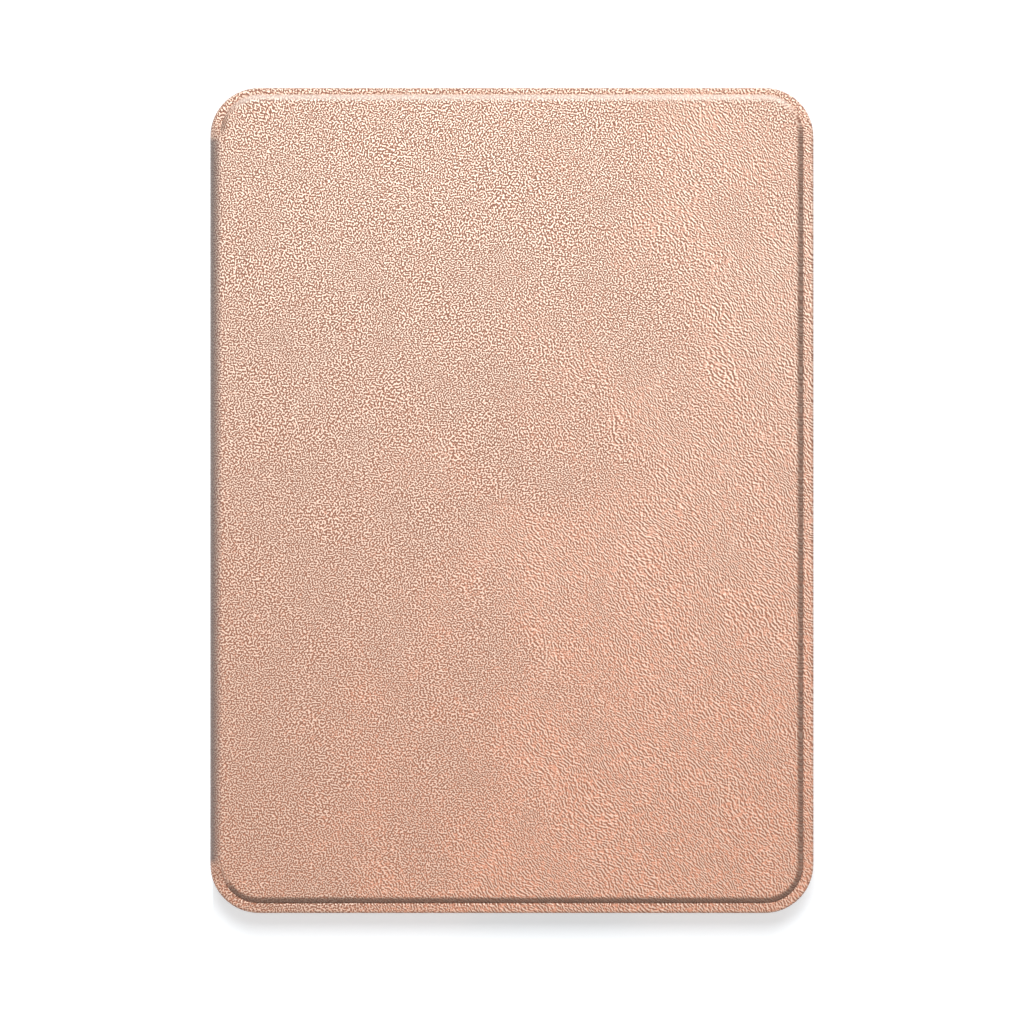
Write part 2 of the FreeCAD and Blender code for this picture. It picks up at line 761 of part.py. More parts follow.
def make_board():
    board = new_body("logic_board")
    outline = sketch_at(board, dim.board_height)
    rounded_rectangle(outline, -dim.board_half_width, dim.board_half_width, dim.board_foot,
                      dim.board_head, as_size(1.5))
    pad(board, outline, dim.board_sheet)
    cuts = sketch_at(board, board_top)
    room = dim.port_half_width + 0.2
    port_back = housing_inner_foot - dim.housing_wall + dim.port_recess + dim.port_depth
    rectangle(cuts, -room, room, dim.board_foot - 1, port_back + 0.1)
    rectangle(cuts, dim.button_centre - 2.8, dim.button_centre + 2.8, dim.board_foot - 1, as_size(-81.2))
    pocket(board, cuts, dim.board_sheet + 0.5)
    holes = sketch_at(board, board_top)
    for x, y in board_screws:
        circle(holes, x, y, dim.screw_radius + 0.1)
    pocket(board, holes, dim.board_sheet + 0.5)
    group("board_screws", [
        screw(f"board_screw_{number}", x, y, board_top, dim.board_sheet + 1.3)
        for number, (x, y) in enumerate(board_screws, start=1)
    ])

    chip("processor_chip", -39.0, -63.0, 12, 12, dim.can_chip_height)
    chip("memory_chip", -27.0, -63.0, 8, 10, dim.can_chip_height)
    chip("storage_chip", 0.0, -62.5, 11.5, 9)
    chip("power_chip", 44.0, -62.0, 5, 5)
    chip("radio_module", 27.0, -62.0, 9, 9, dim.can_chip_height)
    chip("hall_sensor", *sleep_magnet_place, 2, 1.5)
    chip("charge_light_led", dim.light_centre, dim.board_foot + 0.5, 1.6, 0.8, as_size(0.6))
    shield_can("main_shield_can", -47.0, -20.0, -72.0, -54.0)
    shield_can("radio_shield_can", 18.0, 36.0, -70.0, -54.0)
    chip("display_connector", 0.0, -71.5, 26, 3, as_size(0.9))
    chip("touch_connector", 36.0, -72.8, 13, 2.4, as_size(0.9))
    chip("battery_connector", 0.0, -53.2, 10, 3, as_size(0.9))

    antenna_low = housing_inner_foot + 0.1
    joined("wifi_antenna", [
        block("antenna_plate", (-50.0, -24.0), (antenna_low, antenna_low + 0.2), (3.4, 6.3), keep=False),
        block("antenna_contact", (-38.0, -36.0), (antenna_low + 0.2, -83.0),
              (board_top, board_top + 0.2), keep=False),
    ])


def shield_can(name, left, right, low, high):
    """A drawn tin lid, open towards the board."""
    can = new_body(name)
    lid = sketch_at(can, board_top)
    rounded_rectangle(lid, left, right, low, high, as_size(0.8))
    pad(can, lid, dim.can_height)
    sheet_metal = dim.can_sheet
    inside = sketch_at(can, board_top)
    rounded_rectangle(inside, left + sheet_metal, right - sheet_metal, low + sheet_metal,
                      high - sheet_metal, as_size(0.6))
    pocket(can, inside, dim.can_height - sheet_metal, along_normal=True)


def make_battery():
    across = (-dim.battery_half_width, dim.battery_half_width)
    along = (dim.battery_foot, dim.battery_head)
    cell_bottom = floor_top + dim.tape_sheet
    block("battery_tape", (across[0] + 4, across[1] - 4), (along[0] + 6, along[1] - 6),
          (floor_top, cell_bottom))
    plate("battery_cell", (*across, *along, as_size(2.0)), cell_bottom, dim.battery_height)
    block("battery_flex", (-4.0, 4.0), (-51.7, dim.battery_foot), (board_top + 0.3, board_top + 0.45))


# ---- charging socket, power button and charge light, all on the bottom edge ----

def make_port():
    mouth = housing_inner_foot - dim.housing_wall + dim.port_recess
    back = mouth + dim.port_depth
    half, centre, tall = dim.port_half_width, dim.port_centre, dim.port_height / 2
    tin = dim.port_sheet

    shell = new_body("charging_port_shell")
    tube = sketch_at(shell, -back, "XZ_Plane")
    rounded_rectangle(tube, -half, half, centre - tall, centre + tall, as_size(1.5))
    rounded_rectangle(tube, tin - half, half - tin, centre - tall + tin, centre + tall - tin, as_size(1.2))
    pad(shell, tube, dim.port_depth)

    insulator = new_body("charging_port_tongue")
    plug_gap = tin + 0.05
    base = sketch_at(insulator, -back, "XZ_Plane")
    rounded_rectangle(base, plug_gap - half, half - plug_gap, centre - tall + plug_gap,
                      centre + tall - plug_gap, as_size(1.15))
    pad(insulator, base, 1.6)
    tongue = sketch_at(insulator, -back, "XZ_Plane")
    rounded_rectangle(tongue, -3.35, 3.35, centre - 0.35, centre + 0.35, as_size(0.2))
    pad(insulator, tongue, dim.port_depth - 1.3)

    seal = new_body("charging_port_seal")
    washer = sketch_at(seal, -(housing_inner_foot + 1), "XZ_Plane")
    rounded_rectangle(washer, -half - 1.2, half + 1.2, floor_top - 0.55, frame_bottom + 0.6, as_size(1.0))
    rounded_rectangle(washer, -half - 0.05, half + 0.05, centre - tall - 0.05, centre + tall + 0.05,
                      as_size(1.55))
    pad(seal, washer, 1.0)


def make_button():
    face = housing_inner_foot - dim.housing_wall - dim.button_proud
    flange_front = housing_inner_foot + dim.seal_foam + 0.05
    flange_back = flange_front + dim.button_flange
    middle, level = dim.button_centre, dim.button_level

    button = new_body("power_button")
    cap = sketch_at(button, -flange_back, "XZ_Plane")
    pill(cap, middle, level, dim.button_length, dim.button_width)
    pad(button, cap, flange_back - face)
    flange = sketch_at(button, -flange_back, "XZ_Plane")
    pill(flange, middle, level, dim.button_length + 1.6, dim.button_width + 0.7)
    pad(button, flange, dim.button_flange)

    seal = new_body("button_seal")
    foam = sketch_at(seal, -(housing_inner_foot + dim.seal_foam), "XZ_Plane")
    pill(foam, middle, level, dim.button_length + 2, dim.button_width + 0.9)
    pill(foam, middle, level, dim.button_length + 0.4, dim.button_width + 0.4)
    pad(seal, foam, dim.seal_foam)

    switch_front = as_size(-83.6)
    switch = new_body("power_switch")
    case = sketch_at(switch, -(switch_front + 2.2), "XZ_Plane")
    rounded_rectangle(case, middle - 2.4, middle + 2.4, level - 0.95, level + 0.95, as_size(0.3))
    pad(switch, case, 2.2)
    well = sketch_at(switch, -switch_front, "XZ_Plane")
    circle(well, middle, level, dim.plunger_radius + 0.15)
    pocket(switch, well, 1.2)

    plunger = new_body("switch_plunger")
    stem = sketch_at(plunger, -(switch_front + 0.7), "XZ_Plane")
    circle(stem, middle, level, dim.plunger_radius)
    pad(plunger, stem, switch_front + 0.7 - flange_back)

    light = new_body("charge_light_pipe")
    rod = sketch_at(light, -(dim.board_foot - 0.1), "XZ_Plane")
    circle(rod, dim.light_centre, dim.light_level, dim.light_radius)
    pad(light, rod, dim.board_foot - 0.1 - (housing_inner_foot - dim.housing_wall))


# ---- build, test and write ----

def failed_objects():
    return [item.Name for item in document.Objects
            if "Invalid" in item.State or "Error" in item.State]


def idle_pockets():
    """Pockets that took nothing away."""
    smallest_cut = 1e-4
    return [item.Name for item in pockets
            if item.BaseFeature.Shape.Volume - item.Shape.Volume < smallest_cut]


def write_parts():
    os.makedirs("parts", exist_ok=True)
    for node in nodes:
        shape = node.Shape
        if shape.isNull() or not shape.isValid() or not shape.Solids:
            raise RuntimeError(f"{node.Label} has no sound solid")
        shape.exportStep(f"parts/{node.Label}.step")
        print(f"{node.Label}: {len(shape.Solids)} solid(s), {shape.Volume:.1f} mm3")


make_cover()
make_spine()
make_tray()
make_housing()
make_frame()
make_display()
make_board()
make_battery()
make_port()
make_button()
document.recompute()

problems = failed_objects() + idle_pockets()
if problems:
    raise RuntimeError(f"these features failed: {problems}")
write_parts()

hinge_reach = (fold_outside + fold_inside).value / 2 * math.sqrt(0.5)
print(f"hinges at x {spine_inner.value - hinge_reach:.3f},"
      f" front z {front_fold_level.value + hinge_reach:.3f}, rear z {fold_outside.value - hinge_reach:.3f}")
print(f"{len(nodes)} nodes")
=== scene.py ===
import math

import bmesh
import bpy
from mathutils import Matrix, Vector


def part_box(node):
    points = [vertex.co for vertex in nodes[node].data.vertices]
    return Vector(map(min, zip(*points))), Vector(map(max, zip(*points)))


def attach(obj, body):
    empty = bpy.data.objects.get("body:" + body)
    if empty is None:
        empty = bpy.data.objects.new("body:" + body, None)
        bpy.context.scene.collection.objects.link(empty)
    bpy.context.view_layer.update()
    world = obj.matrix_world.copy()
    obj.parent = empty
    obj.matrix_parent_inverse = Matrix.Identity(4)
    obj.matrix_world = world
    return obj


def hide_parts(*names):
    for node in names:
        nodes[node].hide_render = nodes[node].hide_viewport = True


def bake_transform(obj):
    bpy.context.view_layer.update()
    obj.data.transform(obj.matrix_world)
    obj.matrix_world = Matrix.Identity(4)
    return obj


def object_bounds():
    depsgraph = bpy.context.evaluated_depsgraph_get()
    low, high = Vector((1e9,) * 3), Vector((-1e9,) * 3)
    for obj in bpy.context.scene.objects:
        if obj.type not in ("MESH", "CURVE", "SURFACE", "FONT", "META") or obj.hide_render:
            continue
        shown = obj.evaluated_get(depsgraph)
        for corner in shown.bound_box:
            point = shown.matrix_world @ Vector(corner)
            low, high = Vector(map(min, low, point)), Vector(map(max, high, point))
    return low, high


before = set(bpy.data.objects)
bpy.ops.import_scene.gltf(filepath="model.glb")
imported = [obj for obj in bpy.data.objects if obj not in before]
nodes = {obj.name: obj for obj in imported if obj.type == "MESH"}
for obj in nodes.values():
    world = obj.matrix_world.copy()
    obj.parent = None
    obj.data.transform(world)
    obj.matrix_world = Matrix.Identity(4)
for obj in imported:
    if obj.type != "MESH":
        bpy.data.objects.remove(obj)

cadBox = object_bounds()
mm = 0.001
scene = bpy.context.scene


def smoothStep(low, high, value):
    share = min(max((value - low) / (high - low), 0.0), 1.0)
    return share * share * (3 - 2 * share)


def roundRise(share):
    return math.sqrt(max(0.0, 1 - (1 - min(max(share, 0.0), 1.0)) ** 2))  # quarter circle, 0 to 1


def pieceFrom(bm, name, material, smooth=True):
    mesh = bpy.data.meshes.new(name)
    for face in bm.faces:
        face.smooth = smooth
    bm.to_mesh(mesh)
    bm.free()
    piece = bpy.data.objects.new(name, mesh)
    scene.collection.objects.link(piece)
    mesh.materials.append(material)
    return piece


stageSet = {
    "viewWidth": 221.1 * mm,   # what the camera sees across the cover
    "lens": 160.0,
    "sensor": 36.0,
    "aim": (0.04 * mm, -2.49 * mm),
    "floorSize": 8.0,
    "floorColour": (0.66, 0.70, 0.73),
    "floorGap": 0.05,     # clear of the object's base
    "floorStep": 0.2,     # from the spine to where the floor drops
    "floorDrop": 12.0,
    "fadeStart": 155.0,   # the floor whitens between these distances from the object's middle
    "fadeEnd": 330.0,
    "floorGlow": 0.50,
    "skyLight": 0.36,
    "keyPlace": (0.0, 0.25, 0.76),
    "keySize": 0.26,
    "keyPower": 4.0,
    "rimPlace": (0.35, 0.80, 0.42),
    "rimSize": 0.5,
    "rimPower": 2.6,
}


def areaLight(name, place, size, power):
    light = bpy.data.lights.new(name, "AREA")
    light.shape = "SQUARE"
    light.size = size
    light.energy = power
    lamp = bpy.data.objects.new(name, light)
    lamp.location = place
    lamp.rotation_euler = (-Vector(place)).to_track_quat("-Z", "Y").to_euler()
    scene.collection.objects.link(lamp)


def makeCamera(s):
    camera = bpy.data.cameras.new("camera")
    camera.lens = s["lens"]
    camera.sensor_width = s["sensor"]
    cameraObject = bpy.data.objects.new("camera", camera)
    distance = s["viewWidth"] * s["lens"] / s["sensor"]
    cameraObject.location = (*s["aim"], cadBox[1].z + distance)
    scene.collection.objects.link(cameraObject)
    scene.camera = cameraObject
    scene.view_settings.view_transform = "Standard"


def makeSky(s):
    # A soft white sky for light, with plain white behind the object.
    world = bpy.data.worlds.new("studio")
    scene.world = world
    world.use_nodes = True
    tree = world.node_tree
    tree.nodes.clear()
    out = tree.nodes.new("ShaderNodeOutputWorld")
    mix = tree.nodes.new("ShaderNodeMixShader")
    rays = tree.nodes.new("ShaderNodeLightPath")
    sky = tree.nodes.new("ShaderNodeBackground")
    backdrop = tree.nodes.new("ShaderNodeBackground")
    sky.inputs["Strength"].default_value = s["skyLight"]
    sky.inputs["Color"].default_value = (1, 1, 1, 1)
    backdrop.inputs["Color"].default_value = (1, 1, 1, 1)
    tree.links.new(rays.outputs["Is Camera Ray"], mix.inputs["Fac"])
    tree.links.new(sky.outputs[0], mix.inputs[1])
    tree.links.new(backdrop.outputs[0], mix.inputs[2])
    tree.links.new(mix.outputs[0], out.inputs["Surface"])


def floorPaint(s):
    # Matt paint that glows a little by the object and fades to white away from it.
    material, tree, shader = newTree("floorPaint")
    shader.inputs["Base Color"].default_value = (*s["floorColour"], 1)
    shader.inputs["Roughness"].default_value = 0.9
    shader.inputs["Specular IOR Level"].default_value = 0.0
    shader.inputs["Emission Color"].default_value = (1, 1, 1, 1)
    away = put(tree, "VectorMath", {"operation": "LENGTH"}, i0=inMillimetres(tree)).outputs["Value"]
    glow = remap(tree, away, s["fadeStart"], s["fadeEnd"], s["floorGlow"], 1.0)
    tree.links.new(glow, shader.inputs["Emission Strength"])
    return material


def makeFloor(s):
    # The floor drops a little beyond the spine, which leaves room for a cover that hangs lower.
    edge, half = cadBox[0].x - s["floorStep"] * mm, s["floorSize"] / 2
    bm = bmesh.new()
    bmesh.ops.create_grid(bm, x_segments=3, y_segments=1, size=half)
    for vert in bm.verts:
        column = round((vert.co.x / half + 1) * 1.5)
        vert.co.x = (-half, edge, edge, half)[column]
        vert.co.z = -(s["floorDrop"] if column < 2 else s["floorGap"]) * mm
    pieceFrom(bm, "floor", floorPaint(s), smooth=False)


def makeStage(s):
    makeCamera(s)
    makeSky(s)
    areaLight("keyLight", s["keyPlace"], s["keySize"], s["keyPower"])
    areaLight("rimLight", s["rimPlace"], s["rimSize"], s["rimPower"])
    makeFloor(s)
    print("stage made")


def newTree(name):
    material = bpy.data.materials.new(name)
    material.use_nodes = True
    tree = material.node_tree
    shader = tree.nodes["Principled BSDF"]
    return material, tree, shader


def put(tree, kind, settings=None, **sockets):
    made = tree.nodes.new("ShaderNode" + kind)
    for name, value in (settings or {}).items():
        setattr(made, name, value)
    for name, value in sockets.items():
        key = int(name[1:]) if name[0] == "i" and name[1:].isdigit() else name.replace("_", " ")
        socket = made.inputs[key]
        if isinstance(value, bpy.types.NodeSocket):
            tree.links.new(value, socket)
        else:
            socket.default_value = value
    return made


def maths(tree, operation, first, second=0.0, third=0.0, clamp=False):
    made = put(tree, "Math", {"operation": operation, "use_clamp": clamp}, i0=first, i1=second, i2=third)
    return made.outputs[0]


def remap(tree, value, fromLow, fromHigh, toLow=0.0, toHigh=1.0, shape="SMOOTHSTEP"):
    made = put(tree, "MapRange", {"interpolation_type": shape}, Value=value, From_Min=fromLow,
               From_Max=fromHigh, To_Min=toLow, To_Max=toHigh)
    return made.outputs["Result"]


def blendColours(tree, share, first, second):
    made = tree.nodes.new("ShaderNodeMix")
    made.data_type = "RGBA"
    for key, value in (("Factor_Float", share), ("A_Color", first), ("B_Color", second)):
        socket = next(item for item in made.inputs if item.identifier == key)
        if isinstance(value, bpy.types.NodeSocket):
            tree.links.new(value, socket)
        elif key == "Factor_Float":
            socket.default_value = value
        else:
            socket.default_value = (*value[:3], 1)
    return next(item for item in made.outputs if item.identifier == "Result_Color")


def newGroup(name, inputs, outputs):
    tree = bpy.data.node_groups.new(name, "ShaderNodeTree")
    for label, kind, default in inputs:
        socket = tree.interface.new_socket(label, in_out="INPUT", socket_type="NodeSocket" + kind)
        if default is not None:
            socket.default_value = default
    for label, kind in outputs:
        tree.interface.new_socket(label, in_out="OUTPUT", socket_type="NodeSocket" + kind)
    return tree, tree.nodes.new("NodeGroupInput"), tree.nodes.new("NodeGroupOutput")


def useGroup(tree, group, **sockets):
    made = tree.nodes.new("ShaderNodeGroup")
    made.node_tree = group
    for name, value in sockets.items():
        socket = made.inputs[name]
        if isinstance(value, bpy.types.NodeSocket):
            tree.links.new(value, socket)
        else:
            socket.default_value = value
    return made


def inMillimetres(tree):
    place = tree.nodes.new("ShaderNodeTexCoord").outputs["Object"]
    return scaled(tree, place, 1000.0)


def vectorMaths(tree, operation, first, second):
    return put(tree, "VectorMath", {"operation": operation}, i0=first, i1=second).outputs[0]


def scaled(tree, vector, factor):
    return put(tree, "VectorMath", {"operation": "SCALE"}, i0=vector, Scale=factor).outputs[0]


def bump(tree, height, strength, distance):
    made = put(tree, "Bump", Height=height, Strength=strength, Distance=distance * mm)
    return made.outputs["Normal"]


grainSet = {
    "warpScale": 0.055,
    "warpReach": 5.0,             # millimetres that the slow warp moves the pattern
    "creaseSlant": -50.0,
    "creaseStretch": (1.9, 0.95, 1.0),
    "creaseShare": 0.86,
    "pebbleShare": 2.2,
    "pebbleSink": 0.008,
    "height": (-0.24, 0.16),
    # Ranges of the two masks below: painted shade in the grain's pits and painted highlight on its
    # ridges.
    "pit": (-0.02, -0.17),
    "ridge": (0.0, 0.13),
}


def grainGroup(s):
    # Embossed leather grain. Place is in millimetres; Drift turns pebbles into slanting creases.
    tree, entry, exitNode = newGroup(
        "embossedGrain",
        [("Place", "Vector", None), ("Cell", "Float", 0.33), ("Drift", "Float", 0.5)],
        [("Height", "Float"), ("PitShade", "Float"), ("RidgeHighlight", "Float")],
    )
    place, cell, drift = entry.outputs["Place"], entry.outputs["Cell"], entry.outputs["Drift"]
    frequency = maths(tree, "DIVIDE", 1.0, cell)

    def furrows(where, steps):
        # Noise less the same noise a step to either side keeps only ridges about two steps apart.
        def sample(vector):
            return put(tree, "TexNoise", Vector=vector, Scale=frequency, Detail=0.0).outputs["Fac"]
        total = sample(where)
        for step in steps:
            aside = sample(vectorMaths(tree, "ADD", where, scaled(tree, step, cell)))
            total = maths(tree, "SUBTRACT", total, maths(tree, "MULTIPLY", aside, 1 / len(steps)))
        return total

    warp = put(tree, "TexNoise", Vector=place, Scale=s["warpScale"], Detail=1.0).outputs["Color"]
    shift = scaled(tree, vectorMaths(tree, "SUBTRACT", warp, (0.5, 0.5, 0.5)), s["warpReach"])
    bent = vectorMaths(tree, "ADD", place, shift)
    along = put(tree, "Mapping", {"vector_type": "TEXTURE"}, Vector=bent,
                Rotation=(0, 0, math.radians(s["creaseSlant"])), Scale=s["creaseStretch"]).outputs[0]
    crease = furrows(along, [(0, 1, 0), (0, -1, 0)])
    pebble = furrows(bent, [(1.03, 0.37, 0), (-0.84, 0.70, 0), (-0.19, -1.07, 0)])
    creases = maths(tree, "MULTIPLY", crease, maths(tree, "MULTIPLY", drift, s["creaseShare"]))
    pebbleWeight = maths(tree, "MULTIPLY_ADD", drift, -s["pebbleShare"], s["pebbleShare"])
    pebbles = maths(tree, "MULTIPLY", maths(tree, "SUBTRACT", pebble, s["pebbleSink"]), pebbleWeight)
    mixed = maths(tree, "ADD", creases, pebbles)
    tree.links.new(remap(tree, mixed, *s["height"]), exitNode.inputs["Height"])
    # Besides the bump's height, masks for painted shade in the pits and painted highlight on the ridges.
    tree.links.new(remap(tree, mixed, *s["pit"]), exitNode.inputs["PitShade"])
    tree.links.new(remap(tree, mixed, *s["ridge"]), exitNode.inputs["RidgeHighlight"])
    return tree


def creaseGroup():
    # Sparse long lines where a skin has been stretched, from 0 to 1.
    tree, entry, exitNode = newGroup(
        "longCreases", [("Place", "Vector", None), ("Angle", "Float", 0.0), ("Width", "Float", 0.02)],
        [("Line", "Float")])
    turned = put(tree, "VectorRotate", {"rotation_type": "Z_AXIS"}, Vector=entry.outputs["Place"],
                 Angle=entry.outputs["Angle"]).outputs[0]
    drawn = vectorMaths(tree, "MULTIPLY", turned, (0.09, 0.016, 0.05))
    veins = put(tree, "TexNoise", Vector=drawn, Scale=1.0, Detail=2.0, Roughness=0.5,
                Distortion=0.25).outputs["Fac"]
    away = maths(tree, "ABSOLUTE", maths(tree, "SUBTRACT", veins, 0.5))
    line = maths(tree, "SUBTRACT", 1.0, maths(tree, "DIVIDE", away, entry.outputs["Width"]), clamp=True)
    patch = put(tree, "TexNoise", Vector=entry.outputs["Place"], Scale=0.03, Detail=1.0).outputs["Fac"]
    tree.links.new(maths(tree, "MULTIPLY", line, remap(tree, patch, 0.48, 0.60)), exitNode.inputs["Line"])
    return tree


def mottleGroup():
    # Broad uneven tone, from 0 to 1. Size is the patch size in millimetres.
    tree, entry, exitNode = newGroup(
        "softMottle", [("Place", "Vector", None), ("Size", "Float", 20.0)], [("Tone", "Float")])
    frequency = maths(tree, "DIVIDE", 1.0, entry.outputs["Size"])
    cloud = put(tree, "TexNoise", Vector=entry.outputs["Place"], Scale=frequency, Detail=3.0,
                Roughness=0.5).outputs["Fac"]
    tree.links.new(remap(tree, cloud, 0.3, 0.7), exitNode.inputs["Tone"])
    return tree


def speckleGroup():
    # Fine texture of a moulded or coated surface, and the odd brighter grain.
    tree, entry, exitNode = newGroup(
        "fineSpeckle", [("Place", "Vector", None), ("Size", "Float", 0.25)],
        [("Height", "Float"), ("Grit", "Float")])
    frequency = maths(tree, "DIVIDE", 1.0, entry.outputs["Size"])
    fine = put(tree, "TexNoise", Vector=entry.outputs["Place"], Scale=frequency, Detail=2.0,
               Roughness=0.65).outputs["Fac"]
    grit = put(tree, "TexVoronoi", Vector=entry.outputs["Place"],
               Scale=maths(tree, "MULTIPLY", frequency, 0.35)).outputs["Distance"]
    tree.links.new(fine, exitNode.inputs["Height"])
    tree.links.new(remap(tree, grit, 0.22, 0.04), exitNode.inputs["Grit"])
    return tree


def napGroup():
    # Brushed microfibre: short fibres lying roughly one way, with strokes left by a hand.
    tree, entry, exitNode = newGroup(
        "brushedNap", [("Place", "Vector", None)], [("Height", "Float"), ("Sweep", "Float")])
    drawn = put(tree, "Mapping", {"vector_type": "TEXTURE"}, Vector=entry.outputs["Place"],
                Rotation=(0, 0, math.radians(78)), Scale=(3.6, 1.0, 1.0)).outputs[0]
    fibres = put(tree, "TexNoise", Vector=drawn, Scale=4.0, Detail=3.0, Roughness=0.7).outputs["Fac"]
    strokes = put(tree, "TexNoise", Vector=drawn, Scale=0.07, Detail=2.0, Roughness=0.5,
                  Distortion=0.6).outputs["Fac"]
    tree.links.new(fibres, exitNode.inputs["Height"])
    tree.links.new(remap(tree, strokes, 0.40, 0.60), exitNode.inputs["Sweep"])
    return tree


def smudgeGroup():
    # Handling marks: soft patches and a few short scratches, both from 0 to 1.
    tree, entry, exitNode = newGroup(
        "handlingMarks", [("Place", "Vector", None)], [("Smudge", "Float"), ("Scratch", "Float")])
    patch = put(tree, "TexNoise", Vector=entry.outputs["Place"], Scale=0.06, Detail=4.0, Roughness=0.6,
                Distortion=0.8).outputs["Fac"]
    drawn = put(tree, "Mapping", {"vector_type": "TEXTURE"}, Vector=entry.outputs["Place"],
                Rotation=(0.1, 0.0, math.radians(31)), Scale=(26.0, 0.4, 1.0)).outputs[0]
    hair = put(tree, "TexNoise", Vector=drawn, Scale=0.8, Detail=0.0).outputs["Fac"]
    tree.links.new(remap(tree, patch, 0.42, 0.66), exitNode.inputs["Smudge"])
    tree.links.new(remap(tree, hair, 0.74, 0.80), exitNode.inputs["Scratch"])
    return tree


grain = grainGroup(grainSet)
longCrease = creaseGroup()
mottle = mottleGroup()
speckle = speckleGroup()
nap = napGroup()
handling = smudgeGroup()


leatherSet = {
    "driftAcross": 0.011,  # how fast pebbles turn into creases towards the free edge
    "driftAlong": 0.004,
    "driftMiddle": 0.30,
    "driftPatch": 0.5,
    "driftLeast": 0.22,
    # How much more painted shade is laid on towards the foot.
    "footShade": 0.22,
    "spineSide": (0.715, 0.375, 0.262),
    "freeSide": (0.715, 0.425, 0.315),
    # The colour below serves the random mottle and the painted shade towards the foot.
    "mottleAndFootShade": (0.78, 0.345, 0.215),
    # Colours of the painted shade in the grain's pits and the painted highlight on its ridges.
    "pit": (0.27, 0.110, 0.065),
    "ridge": (1.0, 0.77, 0.62),
    # Painted shade along the spine fold's outer edge: its dark grey colour and how strongly it is laid
    # on.
    "paintedSpineShade": (0.165, 0.145, 0.140),
    "spineShadeShare": 1.0,
    # Painted shade in the groove at the panel's foot and along the hem: its dark colour and how strongly
    # it is laid on.
    "paintedGrooveShading": (0.17, 0.095, 0.065),
    "grooveShadeShare": 0.78,
    # Colour of the painted highlight on the head side's step.
    "paintedEdgeShading": (1.0, 0.84, 0.74),
    "cell": 0.31,
    "bumpStrength": 1.0,
    "bumpDepth": 0.10,
    "roughness": 0.46,
}

# Each entry: colour, second colour of the mottle, its patch size, roughness, its spread, metal,
# speckle size and depth in millimetres, opacity, and a stretch for brushed or drawn surfaces.
coats = {
    "tray": dict(colour=(0.60, 0.385, 0.300), second=(0.54, 0.340, 0.262), patch=30, rough=0.42,
                 spread=0.10, speckle=0.16, depth=0.012, marks=0.5),
    "housing": dict(colour=(0.022, 0.022, 0.025), second=(0.030, 0.030, 0.033), patch=26, rough=0.52,
                    spread=0.12, speckle=0.20, depth=0.010, marks=0.9, grit=0.06),
    "lens": dict(colour=(0.32, 0.33, 0.34), second=(0.28, 0.29, 0.30), patch=40, rough=0.34,
                 spread=0.12, speckle=0.12, depth=0.004, alpha=0.10, marks=1.0),
    "border": dict(colour=(0.012, 0.012, 0.014), second=(0.016, 0.016, 0.018), patch=30, rough=0.5,
                   spread=0.05, speckle=0.3, depth=0.002),
    "clear_film": dict(colour=(0.80, 0.82, 0.82), second=(0.76, 0.78, 0.78), patch=40, rough=0.2,
                       spread=0.05, alpha=0.03),
    "cover_card": dict(colour=(0.36, 0.32, 0.27), second=(0.28, 0.25, 0.21), patch=1.4, rough=0.9,
                       spread=0.05, speckle=0.2, depth=0.03, grit=0.3),
    "magnet": dict(colour=(0.66, 0.66, 0.68), second=(0.55, 0.55, 0.58), patch=3, rough=0.24,
                   spread=0.12, metal=1.0, speckle=0.12, depth=0.004, marks=1.0),
    "frame": dict(colour=(0.46, 0.47, 0.48), second=(0.38, 0.39, 0.40), patch=5, rough=0.46,
                  spread=0.16, metal=1.0, speckle=0.22, depth=0.02),
    "foam": dict(colour=(0.030, 0.030, 0.030), second=(0.055, 0.055, 0.055), patch=0.6, rough=0.92,
                 spread=0.05, speckle=0.18, depth=0.05),
    "flex": dict(colour=(0.50, 0.235, 0.035), second=(0.36, 0.150, 0.020), patch=2.5, rough=0.34,
                 spread=0.10, speckle=0.4, depth=0.01, drawn=(6, 0.5, 1)),
    "chip": dict(colour=(0.020, 0.020, 0.022), second=(0.034, 0.034, 0.036), patch=2.2, rough=0.56,
                 spread=0.12, speckle=0.10, depth=0.012, grit=0.15),
    "connector": dict(colour=(0.66, 0.62, 0.50), second=(0.58, 0.53, 0.41), patch=1.5, rough=0.5,
                      spread=0.10, speckle=0.12, depth=0.006),
    "tin": dict(colour=(0.60, 0.60, 0.60), second=(0.48, 0.48, 0.49), patch=5, rough=0.30,
                spread=0.16, metal=1.0, speckle=0.25, depth=0.008, drawn=(8, 0.5, 1), marks=1.0),
    "battery": dict(colour=(0.56, 0.57, 0.59), second=(0.42, 0.43, 0.45), patch=7, rough=0.34,
                    spread=0.2, metal=1.0, speckle=1.8, depth=0.08, marks=1.0),
    "tape": dict(colour=(0.70, 0.69, 0.62), second=(0.62, 0.61, 0.54), patch=2, rough=0.75,
                 spread=0.10, speckle=0.3, depth=0.02, drawn=(3, 1, 1)),
    "screw": dict(colour=(0.20, 0.20, 0.21), second=(0.30, 0.30, 0.31), patch=0.7, rough=0.36,
                  spread=0.14, metal=1.0, speckle=0.10, depth=0.006),
    "led": dict(colour=(0.86, 0.82, 0.52), second=(0.80, 0.74, 0.42), patch=0.6, rough=0.3,
                spread=0.10),
    "light_pipe": dict(colour=(0.80, 0.81, 0.82), second=(0.70, 0.71, 0.72), patch=0.6, rough=0.25,
                       spread=0.12, alpha=0.75),
}


